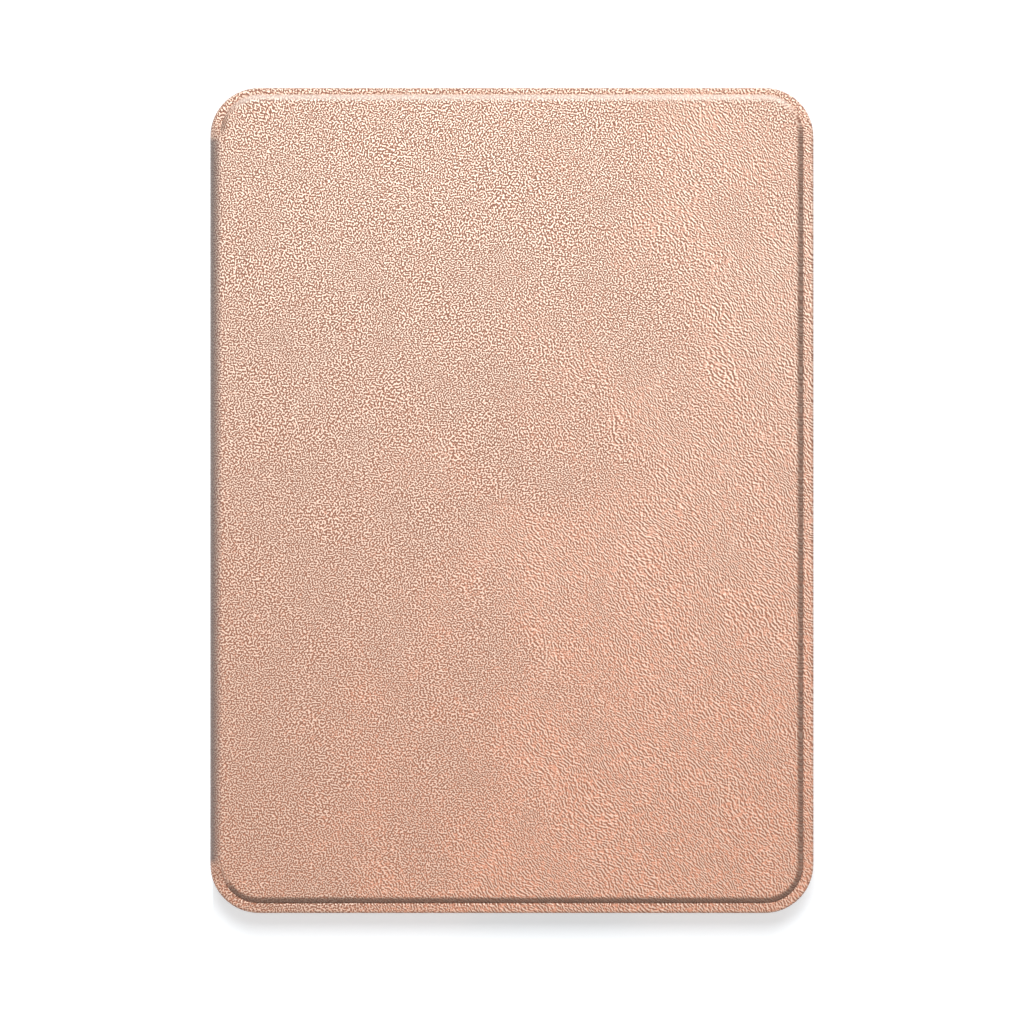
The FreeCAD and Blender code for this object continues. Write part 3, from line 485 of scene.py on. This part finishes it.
def coatMaterial(name, s):
    material, tree, shader = newTree(name)
    place = inMillimetres(tree)
    tone = useGroup(tree, mottle, Place=place, Size=float(s["patch"])).outputs["Tone"]
    colour = blendColours(tree, tone, s["colour"], s["second"])
    rough = maths(tree, "ADD", maths(tree, "MULTIPLY", tone, s["spread"]), s["rough"] - s["spread"] / 2)
    if "speckle" in s:
        drawn = vectorMaths(tree, "DIVIDE", place, s.get("drawn", (1, 1, 1)))
        fine = useGroup(tree, speckle, Place=drawn, Size=s["speckle"])
        tree.links.new(bump(tree, fine.outputs["Height"], 1.0, s["depth"]), shader.inputs["Normal"])
        if "grit" in s:
            share = maths(tree, "MULTIPLY", fine.outputs["Grit"], s["grit"])
            colour = blendColours(tree, share, colour, (0.5, 0.5, 0.5))
    if "marks" in s:
        marks = useGroup(tree, handling, Place=place)
        rough = maths(tree, "ADD", rough, maths(tree, "MULTIPLY", marks.outputs["Smudge"],
                                                0.10 * s["marks"]))
        rough = maths(tree, "SUBTRACT", rough, maths(tree, "MULTIPLY", marks.outputs["Scratch"],
                                                     0.12 * s["marks"]), clamp=True)
        lift = maths(tree, "MULTIPLY", marks.outputs["Scratch"], 0.10 * s["marks"])
        colour = blendColours(tree, lift, colour, (0.6, 0.6, 0.6))
    tree.links.new(colour, shader.inputs["Base Color"])
    tree.links.new(rough, shader.inputs["Roughness"])
    shader.inputs["Metallic"].default_value = s.get("metal", 0.0)
    shader.inputs["Alpha"].default_value = s.get("alpha", 1.0)
    return material


def boardMaterial(name):
    # Solder mask over copper tracks, with rows of small tinned pads.
    material, tree, shader = newTree(name)
    place = inMillimetres(tree)
    tracks = put(tree, "TexBrick", Vector=place, Scale=0.55, Mortar_Size=0.045, Mortar_Smooth=0.3,
                 Brick_Width=2.6, Row_Height=0.55).outputs["Fac"]
    pads = put(tree, "TexVoronoi", {"distance": "CHEBYCHEV"}, Vector=place, Scale=0.55,
               Randomness=0.35).outputs["Distance"]
    tin = remap(tree, pads, 0.16, 0.13)
    tone = useGroup(tree, mottle, Place=place, Size=9.0).outputs["Tone"]
    mask = blendColours(tree, tone, (0.008, 0.060, 0.026), (0.012, 0.085, 0.036))
    colour = blendColours(tree, maths(tree, "MULTIPLY", tracks, 0.55), mask, (0.03, 0.16, 0.06))
    colour = blendColours(tree, tin, colour, (0.70, 0.68, 0.60))
    tree.links.new(colour, shader.inputs["Base Color"])
    tree.links.new(remap(tree, tin, 0.0, 1.0, 0.28, 0.42), shader.inputs["Roughness"])
    tree.links.new(tin, shader.inputs["Metallic"])
    raised = maths(tree, "ADD", tracks, tin)
    tree.links.new(bump(tree, raised, 0.6, 0.03), shader.inputs["Normal"])
    return material


pageSet = {
    "paper": (0.56, 0.56, 0.525),
    "shade": (0.52, 0.52, 0.485),
    "ink": (0.060, 0.060, 0.062),
    # How strongly the page glows, as painted light.
    "pageGlow": 1.0,
    "wordGap": 0.10,
    "bar": (0.36, 0.72),  # top and foot of a bar, as shares of a line
    "tallRise": 0.16,     # how much higher the tall bars reach
    "indent": 6.0,
    "line": 4.3,          # from one line of words to the next
    "word": 5.2,
    "margins": (-43.5, 45.0, -56.0, 64.0),
}


def pageMaterial(name, s):
    # Electronic paper showing lines of greeked words: plain bars of uneven strokes, no letters.
    material, tree, shader = newTree(name)
    place = inMillimetres(tree)
    axes = put(tree, "SeparateXYZ", Vector=place)
    x, y = axes.outputs["X"], axes.outputs["Y"]
    left, right, foot, head = s["margins"]
    rows = maths(tree, "DIVIDE", maths(tree, "SUBTRACT", head, y), s["line"])
    row, within = maths(tree, "FLOOR", rows), maths(tree, "FRACT", rows)
    chance = put(tree, "TexWhiteNoise", {"noise_dimensions": "1D"}, W=row).outputs["Value"]
    run = maths(tree, "ADD", maths(tree, "DIVIDE", x, s["word"]), maths(tree, "MULTIPLY", row, 37.7))
    gap = put(tree, "TexVoronoi", {"voronoi_dimensions": "1D", "feature": "DISTANCE_TO_EDGE"}, W=run,
              Scale=1.0, Randomness=0.75).outputs["Distance"]
    word = maths(tree, "GREATER_THAN", gap, s["wordGap"])
    strokes = put(tree, "TexNoise", {"noise_dimensions": "2D"},
                  Vector=put(tree, "CombineXYZ", X=maths(tree, "MULTIPLY", x, 1.9),
                             Y=maths(tree, "MULTIPLY", rows, 5.0)).outputs[0],
                  Scale=1.0, Detail=0.0).outputs["Fac"]
    stroke = remap(tree, strokes, 0.36, 0.46)
    shifted = maths(tree, "ADD", x, maths(tree, "MULTIPLY", row, 11.3))
    stretch = maths(tree, "FLOOR", maths(tree, "MULTIPLY", shifted, 0.85))
    tall = put(tree, "TexWhiteNoise", {"noise_dimensions": "1D"}, W=stretch).outputs["Value"]
    rise = maths(tree, "MULTIPLY", maths(tree, "GREATER_THAN", tall, 0.72), s["tallRise"])
    top = maths(tree, "SUBTRACT", s["bar"][0], rise)
    bar = maths(tree, "MULTIPLY", maths(tree, "GREATER_THAN", within, top),
                maths(tree, "LESS_THAN", within, s["bar"][1]))
    lastLine = maths(tree, "GREATER_THAN", chance, 0.80)
    ends = maths(tree, "SUBTRACT", right, maths(tree, "MULTIPLY", lastLine,
                 maths(tree, "ADD", 22.0, maths(tree, "MULTIPLY", chance, 30.0))))
    before = put(tree, "TexWhiteNoise", {"noise_dimensions": "1D"},
                 W=maths(tree, "SUBTRACT", row, 1.0)).outputs["Value"]
    indent = maths(tree, "MULTIPLY", maths(tree, "GREATER_THAN", before, 0.80), s["indent"])
    starts = maths(tree, "ADD", left, indent)
    inside = maths(tree, "MULTIPLY", maths(tree, "GREATER_THAN", x, starts),
                   maths(tree, "LESS_THAN", x, ends))
    inside = maths(tree, "MULTIPLY", inside, maths(tree, "GREATER_THAN", y, foot))
    inside = maths(tree, "MULTIPLY", inside, maths(tree, "LESS_THAN", y, head))
    ink = maths(tree, "MULTIPLY", maths(tree, "MULTIPLY", word, bar), inside)
    ink = maths(tree, "MULTIPLY", ink, remap(tree, stroke, 0.0, 1.0, 0.25, 0.92))
    tone = useGroup(tree, mottle, Place=place, Size=38.0).outputs["Tone"]
    fine = useGroup(tree, speckle, Place=place, Size=0.16)
    paper = blendColours(tree, tone, s["paper"], s["shade"])
    grit = maths(tree, "MULTIPLY", fine.outputs["Grit"], 0.10)
    paper = blendColours(tree, grit, paper, (0.4, 0.4, 0.38))
    page = blendColours(tree, ink, paper, s["ink"])
    tree.links.new(page, shader.inputs["Base Color"])
    # The page glows in its own colours: painted light standing in for the light that the clear layers
    # above it hold back.
    tree.links.new(page, shader.inputs["Emission Color"])
    shader.inputs["Emission Strength"].default_value = s["pageGlow"]
    shader.inputs["Roughness"].default_value = 0.75
    shader.inputs["Specular IOR Level"].default_value = 0.2
    return material


fabricSet = {
    "dark": (0.112, 0.104, 0.101),
    "light": (0.128, 0.119, 0.115),
    "tips": (0.22, 0.205, 0.20),
    "lint": (0.36, 0.34, 0.33),
    "pile": 0.10,
}


def fabricMaterial(name, s):
    material, tree, shader = newTree(name)
    place = inMillimetres(tree)
    pile = useGroup(tree, nap, Place=place)
    colour = blendColours(tree, pile.outputs["Sweep"], s["dark"], s["light"])
    colour = blendColours(tree, remap(tree, pile.outputs["Height"], 0.45, 0.7, 0.0, 0.5), colour,
                          s["tips"])
    lint = useGroup(tree, speckle, Place=place, Size=0.8).outputs["Grit"]
    colour = blendColours(tree, maths(tree, "MULTIPLY", lint, 0.25), colour, s["lint"])
    tree.links.new(colour, shader.inputs["Base Color"])
    tree.links.new(bump(tree, pile.outputs["Height"], 0.9, s["pile"]), shader.inputs["Normal"])
    shader.inputs["Roughness"].default_value = 0.92
    shader.inputs["Sheen Weight"].default_value = 0.15
    return material


def leatherMaterial(name, s):
    # restPlace is a point's place at rest with the spine laid out flat, so that the grain keeps its size
    # round the fold.
    material, tree, shader = newTree(name)
    place = put(tree, "Attribute", {"attribute_name": "restPlace"}).outputs["Vector"]
    paintedSpineShade = put(tree, "Attribute", {"attribute_name": "paintedSpineShade"}).outputs["Fac"]
    paintedGrooveShading = put(tree, "Attribute", {"attribute_name": "paintedGrooveShading"}).outputs["Fac"]
    axes = put(tree, "SeparateXYZ", Vector=place)
    slant = maths(tree, "SUBTRACT", maths(tree, "MULTIPLY", axes.outputs["X"], s["driftAcross"]),
                  maths(tree, "MULTIPLY", axes.outputs["Y"], s["driftAlong"]))
    patch = useGroup(tree, mottle, Place=place, Size=26.0).outputs["Tone"]
    drift = maths(tree, "ADD", maths(tree, "ADD", slant, s["driftMiddle"]),
                  maths(tree, "MULTIPLY", patch, s["driftPatch"]), clamp=True)
    drift = maths(tree, "MAXIMUM", drift, s["driftLeast"])
    skin = useGroup(tree, grain, Place=place, Cell=s["cell"], Drift=drift)
    tone = useGroup(tree, mottle, Place=place, Size=13.0).outputs["Tone"]
    # Painted shade: foot runs from 0 near the head to 0.9 at the foot, turning the leather darker and
    # more saturated towards the foot.
    foot = remap(tree, axes.outputs["Y"], 60.0, -90.0, 0.0, 0.9)
    ground = blendColours(tree, drift, s["spineSide"], s["freeSide"])
    colour = blendColours(tree, maths(tree, "ADD", maths(tree, "MULTIPLY", tone, 0.2), foot), ground,
                          s["mottleAndFootShade"])
    # Painted shade in the grain's pits and painted highlight on its ridges.
    colour = blendColours(tree, maths(tree, "MULTIPLY", skin.outputs["PitShade"], 0.9), colour, s["pit"])
    colour = blendColours(tree, maths(tree, "MULTIPLY", skin.outputs["RidgeHighlight"], 0.9), colour, s["ridge"])
    # More painted shade towards the foot.
    colour = blendColours(tree, maths(tree, "MULTIPLY", foot, s["footShade"]), colour, s["mottleAndFootShade"])
    # Pale stretch lines, drawn in the painted ridge-highlight colour.
    stretched = useGroup(tree, longCrease, Place=place, Angle=math.radians(4), Width=0.010)
    lines = maths(tree, "MULTIPLY", stretched.outputs["Line"], 0.12)
    colour = blendColours(tree, lines, colour, s["ridge"])
    # Painted shade along the spine fold's outer edge.
    paintedEdgeShading = maths(tree, "MULTIPLY", paintedSpineShade, s["spineShadeShare"])
    colour = blendColours(tree, paintedEdgeShading, colour, s["paintedSpineShade"])
    # Positive values of the groove attribute are painted shade in the groove and along the hem; negative
    # values are painted highlight on the head side's step.
    dark = maths(tree, "MULTIPLY", paintedGrooveShading, s["grooveShadeShare"], clamp=True)
    colour = blendColours(tree, dark, colour, s["paintedGrooveShading"])
    # Painted highlight on the head side's step, where the groove attribute is negative.
    stepHighlight = maths(tree, "MULTIPLY", paintedGrooveShading, -1.0, clamp=True)
    colour = blendColours(tree, stepHighlight, colour, s["paintedEdgeShading"])
    tree.links.new(colour, shader.inputs["Base Color"])
    rough = remap(tree, skin.outputs["Height"], 0.0, 1.0, s["roughness"] + 0.14, s["roughness"] - 0.06)
    tree.links.new(rough, shader.inputs["Roughness"])
    tree.links.new(bump(tree, skin.outputs["Height"], s["bumpStrength"], s["bumpDepth"]),
                   shader.inputs["Normal"])
    shader.inputs["Metallic"].default_value = 0.15
    shader.inputs["Sheen Weight"].default_value = 0.08
    return material


def makeMaterials():
    made = {name: coatMaterial(name, settings) for name, settings in coats.items()}
    made["board"] = boardMaterial("board")
    made["paper_screen"] = pageMaterial("paper_screen", pageSet)
    made["lining"] = fabricMaterial("lining", fabricSet)
    made["rose_leather"] = leatherMaterial("rose_leather", leatherSet)
    for node in nodes.values():
        slotName = node.data.materials[0].name.split(".")[0]
        node.data.materials[0] = made[slotName]
    print("materials made:", len(made))
    return made


skinSet = {
    "leather": 0.7,
    "foldRadius": 2.2,
    "rimTop": 1.2,        # how far the rim lies below the panel
    "rimRoll": 0.55,
    "crease": 2.35,       # from the outline to the foot of the panel's shoulder
    "shoulder": 1.25,
    "cardEdge": 4.0,
    "liningEdge": 0.8,
    "lining": 0.4,
    "corner": 10.6,
    "middleStep": 1.2,
    "headShift": 0.8,     # the panel sits this much nearer the head's edge
    "fadeFrom": 20.0,     # degrees round a spine-side corner over which the step fades
    "fadeTo": 2.0,
    "grooveIn": (-0.35, 0.05),    # from the crease, where the painted groove shading comes and goes
    "grooveOut": (0.75, 0.35),
    # Painted shade along the hem, and how far in it reaches.
    "hemShade": 0.5,
    "hemReach": 0.6,
    "grooveFadeFoot": (22.0, 44.0),   # degrees round the spine-side corners
    "grooveFadeHead": (0.0, 16.0),
    # Painted shade along the spine fold: how far in from the edge it reaches, where it ends round the
    # corner, and where it ends down the spine.
    "spineShadeReach": 2.8,
    "spineShadeEnd": (-0.9, 0.3),        # past the start of the corner
    "spineShadeDrop": (0.6, 2.6),        # down the spine
    "spineRows": 8,
    "extraRings": (0.04, 0.78, 0.82, 1.5, 2.0, 2.28, 3.75, 4.0, 4.6, 5.4, 6.3, 7.3, 8.4, 9.5),
    "ringGap": 0.035,
}


def ringSteps(s):
    # Distances in from the outline at which the surface changes slope.
    steps = {0.0, *s["extraRings"], s["corner"]}
    for share in range(1, 7):
        rise = 1 - math.cos(share / 6 * math.pi / 2)
        steps.add(s["rimRoll"] * rise)
        steps.add(s["crease"] + s["shoulder"] * rise)
    steps.add(s["crease"])
    for share in range(1, 9):
        steps.add(s["foldRadius"] * (1 - math.cos(share / 8 * math.pi / 2)))
    merged = []
    for step in sorted(steps):
        if not merged or step - merged[-1] > s["ringGap"]:
            merged.append(step)
    return merged


def coverEdge(d, s):
    # How far the cover leather's outer and inner faces lie below the panel, at d from the outline.
    rimMiddle = s["rimTop"] + s["rimRoll"]
    roll = s["rimRoll"] * roundRise(d / s["rimRoll"])
    outer = rimMiddle - roll
    inner = rimMiddle + roll
    outer -= s["rimTop"] * roundRise((d - s["crease"]) / s["shoulder"])
    outer += 0.10 * math.exp(-((d - s["crease"] + 0.15) / 0.22) ** 2)
    laminated = s["rimTop"] + s["leather"]
    if d > s["liningEdge"]:
        inner = laminated - s["rimTop"] * smoothStep(s["cardEdge"] - 0.25, s["cardEdge"], d)
    return outer, inner


def backEdge(d, s):
    half = s["leather"] / 2
    roll = half * roundRise(d / half)
    return half - roll, half + roll


def grooveShade(d, s):
    # Painted shade in the groove at the panel's foot and along the hem.
    crease, (come, full), (stay, gone) = s["crease"], s["grooveIn"], s["grooveOut"]
    paintedGrooveShading = smoothStep(crease + come, crease + full, d) * (
        1 - smoothStep(crease + stay, crease + s["shoulder"] + gone, d))
    return paintedGrooveShading + s["hemShade"] * (1 - smoothStep(0.0, s["hemReach"], d))


def growSpine(bm, s, left, foldLevel, spineHalf, end):
    # Run the skin's inner edge on along the spine, from the fold to the end height.
    hem = [
        face for face in bm.faces
        if abs(face.calc_center_median().z - foldLevel) < 0.02 * mm
        and face.calc_center_median().x < (left + s["leather"]) * mm
        and abs(face.calc_center_median().y) < spineHalf * mm
    ]
    for _ in range(s["spineRows"]):
        grown = bmesh.ops.extrude_face_region(bm, geom=hem)["geom"]
        bmesh.ops.delete(bm, geom=hem, context="FACES_KEEP_BOUNDARY")
        moved = [item for item in grown if isinstance(item, bmesh.types.BMVert)]
        hem = [item for item in grown if isinstance(item, bmesh.types.BMFace)]
        bmesh.ops.translate(bm, verts=moved, vec=(0, 0, (end * mm - foldLevel) / s["spineRows"]))


def foldedSkin(name, s, outline, outerLevel, side, edge, spineEnd, material):
    # A leather skin: a rounded sheet whose edge has a profile, and which rolls over the fold at
    # its left side and runs on along the spine to spineEnd. side is 1 for a skin that faces up.
    left, right, low, high = outline
    width, length, corner = right - left, high - low, s["corner"]
    rings = ringSteps(s)

    def lines(span):
        free = span - 2 * corner
        count = round(free / s["middleStep"])
        middle = [corner + free * step / count for step in range(1, count)]
        return rings + middle + [span - ring for ring in reversed(rings)]

    columns, rows = lines(width), lines(length)

    def place(x, y, layer):
        # The point for a distance across and along the sheet, with the painted groove shading and the
        # painted spine shade there.
        across, along = min(x, width - x), min(y, length - y)
        outX = -1 if x < width / 2 else 1
        outY = -1 if y < length / 2 else 1
        a, b = max(corner - across, 0.0), max(corner - along, 0.0)
        reach = math.hypot(a, b)
        past = abs(y - length / 2) - length / 2 + corner
        d = corner - max(a, b)
        angle = math.degrees(math.atan2(b, a)) if reach else 90.0
        onFold = 0.0
        if outX < 0 and across < corner:
            onFold = 1 - smoothStep(s["fadeTo"], s["fadeFrom"], angle)
        outer, inner = edge(d, s)
        depth = outer if layer == 0 else inner
        bend = s["foldRadius"]
        turn = math.acos(min(max((bend - d) / bend, 0.0), 1.0))
        radius = bend if layer == 0 else bend - s["leather"]
        foldDepth = bend - radius * math.sin(turn)
        foldShift = (bend - radius * math.cos(turn)) - min(d, bend)
        depth += (foldDepth - depth) * onFold
        shift = foldShift * onFold
        headward = max(b / reach * outY, 0.0) * (1 - onFold) if reach else 0.0
        shift -= s["headShift"] * headward * min(d / s["crease"], 1.0) * (1 - smoothStep(4.0, corner, d))
        inset = corner - d - shift
        if a:
            x = corner - a / reach * inset if outX < 0 else width - corner + a / reach * inset
        if b:
            y = corner - b / reach * inset if outY < 0 else length - corner + b / reach * inset
        # Painted shade in the groove and along the hem, which turns into painted highlight on the head
        # side (headward) and fades round the spine-side corners.
        tone = grooveShade(d, s) * (1 - onFold) * (1 - 1.6 * headward) if reach else 0.0
        # Painted shade along the spine fold's edge, fading past the start of the corner.
        spineShadeAmount = 0.0
        if outX < 0:
            tone *= smoothStep(*s["grooveFadeFoot" if outY < 0 else "grooveFadeHead"], angle)
            spineShadeAmount = max(1 - d / s["spineShadeReach"], 0.0) * (1 - smoothStep(*s["spineShadeEnd"], past))
        return Vector(((left + x) * mm, (low + y) * mm, (outerLevel - side * depth) * mm)), tone, spineShadeAmount

    bm = bmesh.new()
    grooveShadingLayer = bm.verts.layers.float.new("paintedGrooveShading")
    spineShadeLayer = bm.verts.layers.float.new("paintedSpineShade")
    restPlace = bm.verts.layers.float_vector.new("restPlace")
    bmesh.ops.create_grid(bm, x_segments=len(columns) - 1, y_segments=len(rows) - 1, size=0.5)
    grown = bmesh.ops.extrude_face_region(bm, geom=bm.faces[:])["geom"]
    inner = {item for item in grown if isinstance(item, bmesh.types.BMVert)}
    for vert in bm.verts:
        column = round((vert.co.x + 0.5) * (len(columns) - 1))
        row = round((vert.co.y + 0.5) * (len(rows) - 1))
        layer = 1 if vert in inner else 0
        vert.co, vert[grooveShadingLayer], vert[spineShadeLayer] = place(columns[column], rows[row], layer)
    foldLevel = (outerLevel - side * s["foldRadius"]) * mm
    growSpine(bm, s, left, foldLevel, (high - low) / 2 - corner, spineEnd)
    for vert in bm.verts:
        below = abs(vert.co.z / mm - outerLevel)
        vert[restPlace] = (vert.co.x / mm - below, vert.co.y / mm, 0)
        # The painted spine shade fades out down the spine.
        vert[spineShadeLayer] *= 1 - smoothStep(*s["spineShadeDrop"], below)
    bmesh.ops.recalc_face_normals(bm, faces=bm.faces)
    piece = pieceFrom(bm, name, material)
    print(name, "has", len(piece.data.polygons), "faces")
    return piece


def makeSkins(materials):
    s = skinSet
    coverLow, coverHigh = (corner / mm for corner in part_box("cover_leather"))
    backLow, backHigh = (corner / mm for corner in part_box("back_leather"))
    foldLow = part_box("front_fold_leather")[0] / mm
    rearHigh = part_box("rear_fold_leather")[1] / mm
    hinge, outer = coverLow.x, foldLow.x
    spineMiddle = (foldLow.z + rearHigh.z) / 2
    s["spineHalf"] = coverHigh.y - s["corner"]
    leather, lining = materials["rose_leather"], materials["lining"]

    front = (outer, coverHigh.x, coverLow.y, coverHigh.y)
    upper = foldedSkin("frontLeather", s, front, coverHigh.z, 1, coverEdge, spineMiddle, leather)
    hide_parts("cover_leather", "front_fold_leather", "spine_leather")

    backSet = dict(s, corner=backHigh.y - s["spineHalf"], middleStep=3.0)
    back = (outer, backHigh.x, backLow.y, backHigh.y)
    lower = foldedSkin("backLeather", backSet, back, backLow.z, -1, backEdge, spineMiddle, leather)
    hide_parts("back_leather", "rear_fold_leather")

    frontLevel, rearLevel = coverHigh.z - s["foldRadius"], backLow.z + s["foldRadius"]
    frontStrip = foldStrip("frontFoldLining", s, hinge, frontLevel, 1, lining)
    rearStrip = foldStrip("rearFoldLining", s, hinge, rearLevel, -1, lining)
    for piece in (upper, frontStrip):
        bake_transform(piece)
    for piece in (lower, rearStrip):
        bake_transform(piece)
    print("leather skins made")


liningSet = {
    "corner": 9.8,
    "edge": 0.12,         # rounding of a cut edge
    "border": 2.4,        # from the edge to the heat-pressed line
    "pressed": 0.6,
    "pressDepth": 0.14,
    "flange": 0.12,       # the turned edge over an end of card
    "flangeHeight": 1.15,
    "endGap": 0.3,        # from the end of a strip to the end of the spine
    "flangeOut": 0.62,
    "flangeIn": 0.04,
}


def foldStrip(name, s, hinge, level, side, material):
    # The lining laminated to the inside of a fold.
    bm = bmesh.new()
    bmesh.ops.create_grid(bm, x_segments=10, y_segments=60, size=0.5)
    grown = bmesh.ops.extrude_face_region(bm, geom=bm.faces[:])["geom"]
    inner = {item for item in grown if isinstance(item, bmesh.types.BMVert)}
    radius = s["foldRadius"] - s["leather"]
    for vert in bm.verts:
        turn = (vert.co.x + 0.5) * math.pi / 2
        reach = radius - s["lining"] if vert in inner else radius - 0.01
        vert.co = Vector(((hinge - reach * math.cos(turn)) * mm,
                          vert.co.y * 2 * (s["spineHalf"] - 0.3) * mm,
                          (level + side * reach * math.sin(turn)) * mm))
    bmesh.ops.recalc_face_normals(bm, faces=bm.faces)
    return pieceFrom(bm, name, material)


def addBar(bm, low, high, rounding):
    # A bar between two corners in millimetres, with its edges rounded.
    made = bmesh.ops.create_cube(bm, size=1.0)["verts"]
    for vert in made:
        vert.co = Vector([(a + b) / 2 * mm + axis * (b - a) * mm
                          for a, b, axis in zip(low, high, vert.co)])
    edges = list({edge for vert in made for edge in vert.link_edges})
    bmesh.ops.bevel(bm, geom=edges, offset=rounding * mm, segments=2, profile=0.5, affect="EDGES")


def makeLinings(materials, s):
    coverLow, coverHigh = (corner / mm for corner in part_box("cover_lining"))
    spineLow, spineHigh = (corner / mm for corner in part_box("spine_lining"))
    right, halfLength = coverHigh.x, coverHigh.y
    bm = bmesh.new()
    bmesh.ops.create_grid(bm, x_segments=1, y_segments=1, size=0.5)
    left = skinSet["liningEdge"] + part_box("front_fold_leather")[0].x / mm
    for vert in bm.verts:
        vert.co = Vector((right * mm if vert.co.x > 0 else left * mm,
                          halfLength * mm if vert.co.y > 0 else -halfLength * mm, coverHigh.z * mm))
    bmesh.ops.bevel(bm, geom=bm.verts[:], offset=s["corner"] * mm, segments=14, profile=0.5,
                    affect="VERTICES")
    grown = bmesh.ops.extrude_face_region(bm, geom=bm.faces[:])["geom"]
    moved = [item for item in grown if isinstance(item, bmesh.types.BMVert)]
    bmesh.ops.translate(bm, verts=moved, vec=(0, 0, (coverLow.z - coverHigh.z) * mm))
    bmesh.ops.bisect_plane(bm, geom=bm.verts[:] + bm.edges[:] + bm.faces[:],
                           plane_co=(coverLow.x * mm, 0, 0), plane_no=(1, 0, 0), clear_inner=True)
    bmesh.ops.holes_fill(bm, edges=[edge for edge in bm.edges if edge.is_boundary], sides=0)
    bmesh.ops.recalc_face_normals(bm, faces=bm.faces)
    rims = [edge for edge in bm.edges if edge.calc_face_angle(0) > 1.0
            and abs(edge.verts[0].co.z - edge.verts[1].co.z) < 0.01 * mm]
    bmesh.ops.bevel(bm, geom=rims, offset=s["edge"] * mm, segments=2, profile=0.5, affect="EDGES")
    facingDown = [face for face in bm.faces if face.normal.z < -0.99]
    under = [max(facingDown, key=lambda face: face.calc_area())]
    bmesh.ops.inset_region(bm, faces=under, thickness=s["border"] * mm)
    for depth in (-s["pressDepth"], s["pressDepth"]):
        bmesh.ops.inset_region(bm, faces=under, thickness=s["pressed"] / 2 * mm, depth=depth * mm)
    bmesh.ops.inset_region(bm, faces=under, thickness=1.0 * mm)
    half = skinSet["spineHalf"] - s["endGap"]
    addBar(bm, (coverLow.x - s["flange"], -half, coverLow.z + 0.02),
           (coverLow.x - 0.002, half, coverLow.z + s["flangeHeight"]), s["flange"] / 3)
    coverLining = pieceFrom(bm, "coverLining", materials["lining"])
    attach(coverLining, "cover")
    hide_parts("cover_lining")

    bm = bmesh.new()
    addBar(bm, spineLow, spineHigh, s["edge"])
    outside, inside = spineLow.x - s["flangeOut"], spineHigh.x - s["flange"] - s["flangeIn"]
    top, foot = spineHigh.z, spineLow.z
    for low, high in ((top, top + s["flange"]), (foot - s["flange"], foot)):
        addBar(bm, (outside, -half, low), (inside, half, high), s["flange"] / 3)
    spineLining = pieceFrom(bm, "spineLining", materials["lining"])
    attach(spineLining, "spine")
    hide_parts("spine_lining")
    print("linings made")


makeStage(stageSet)
materials = makeMaterials()
makeSkins(materials)
makeLinings(materials, liningSet)
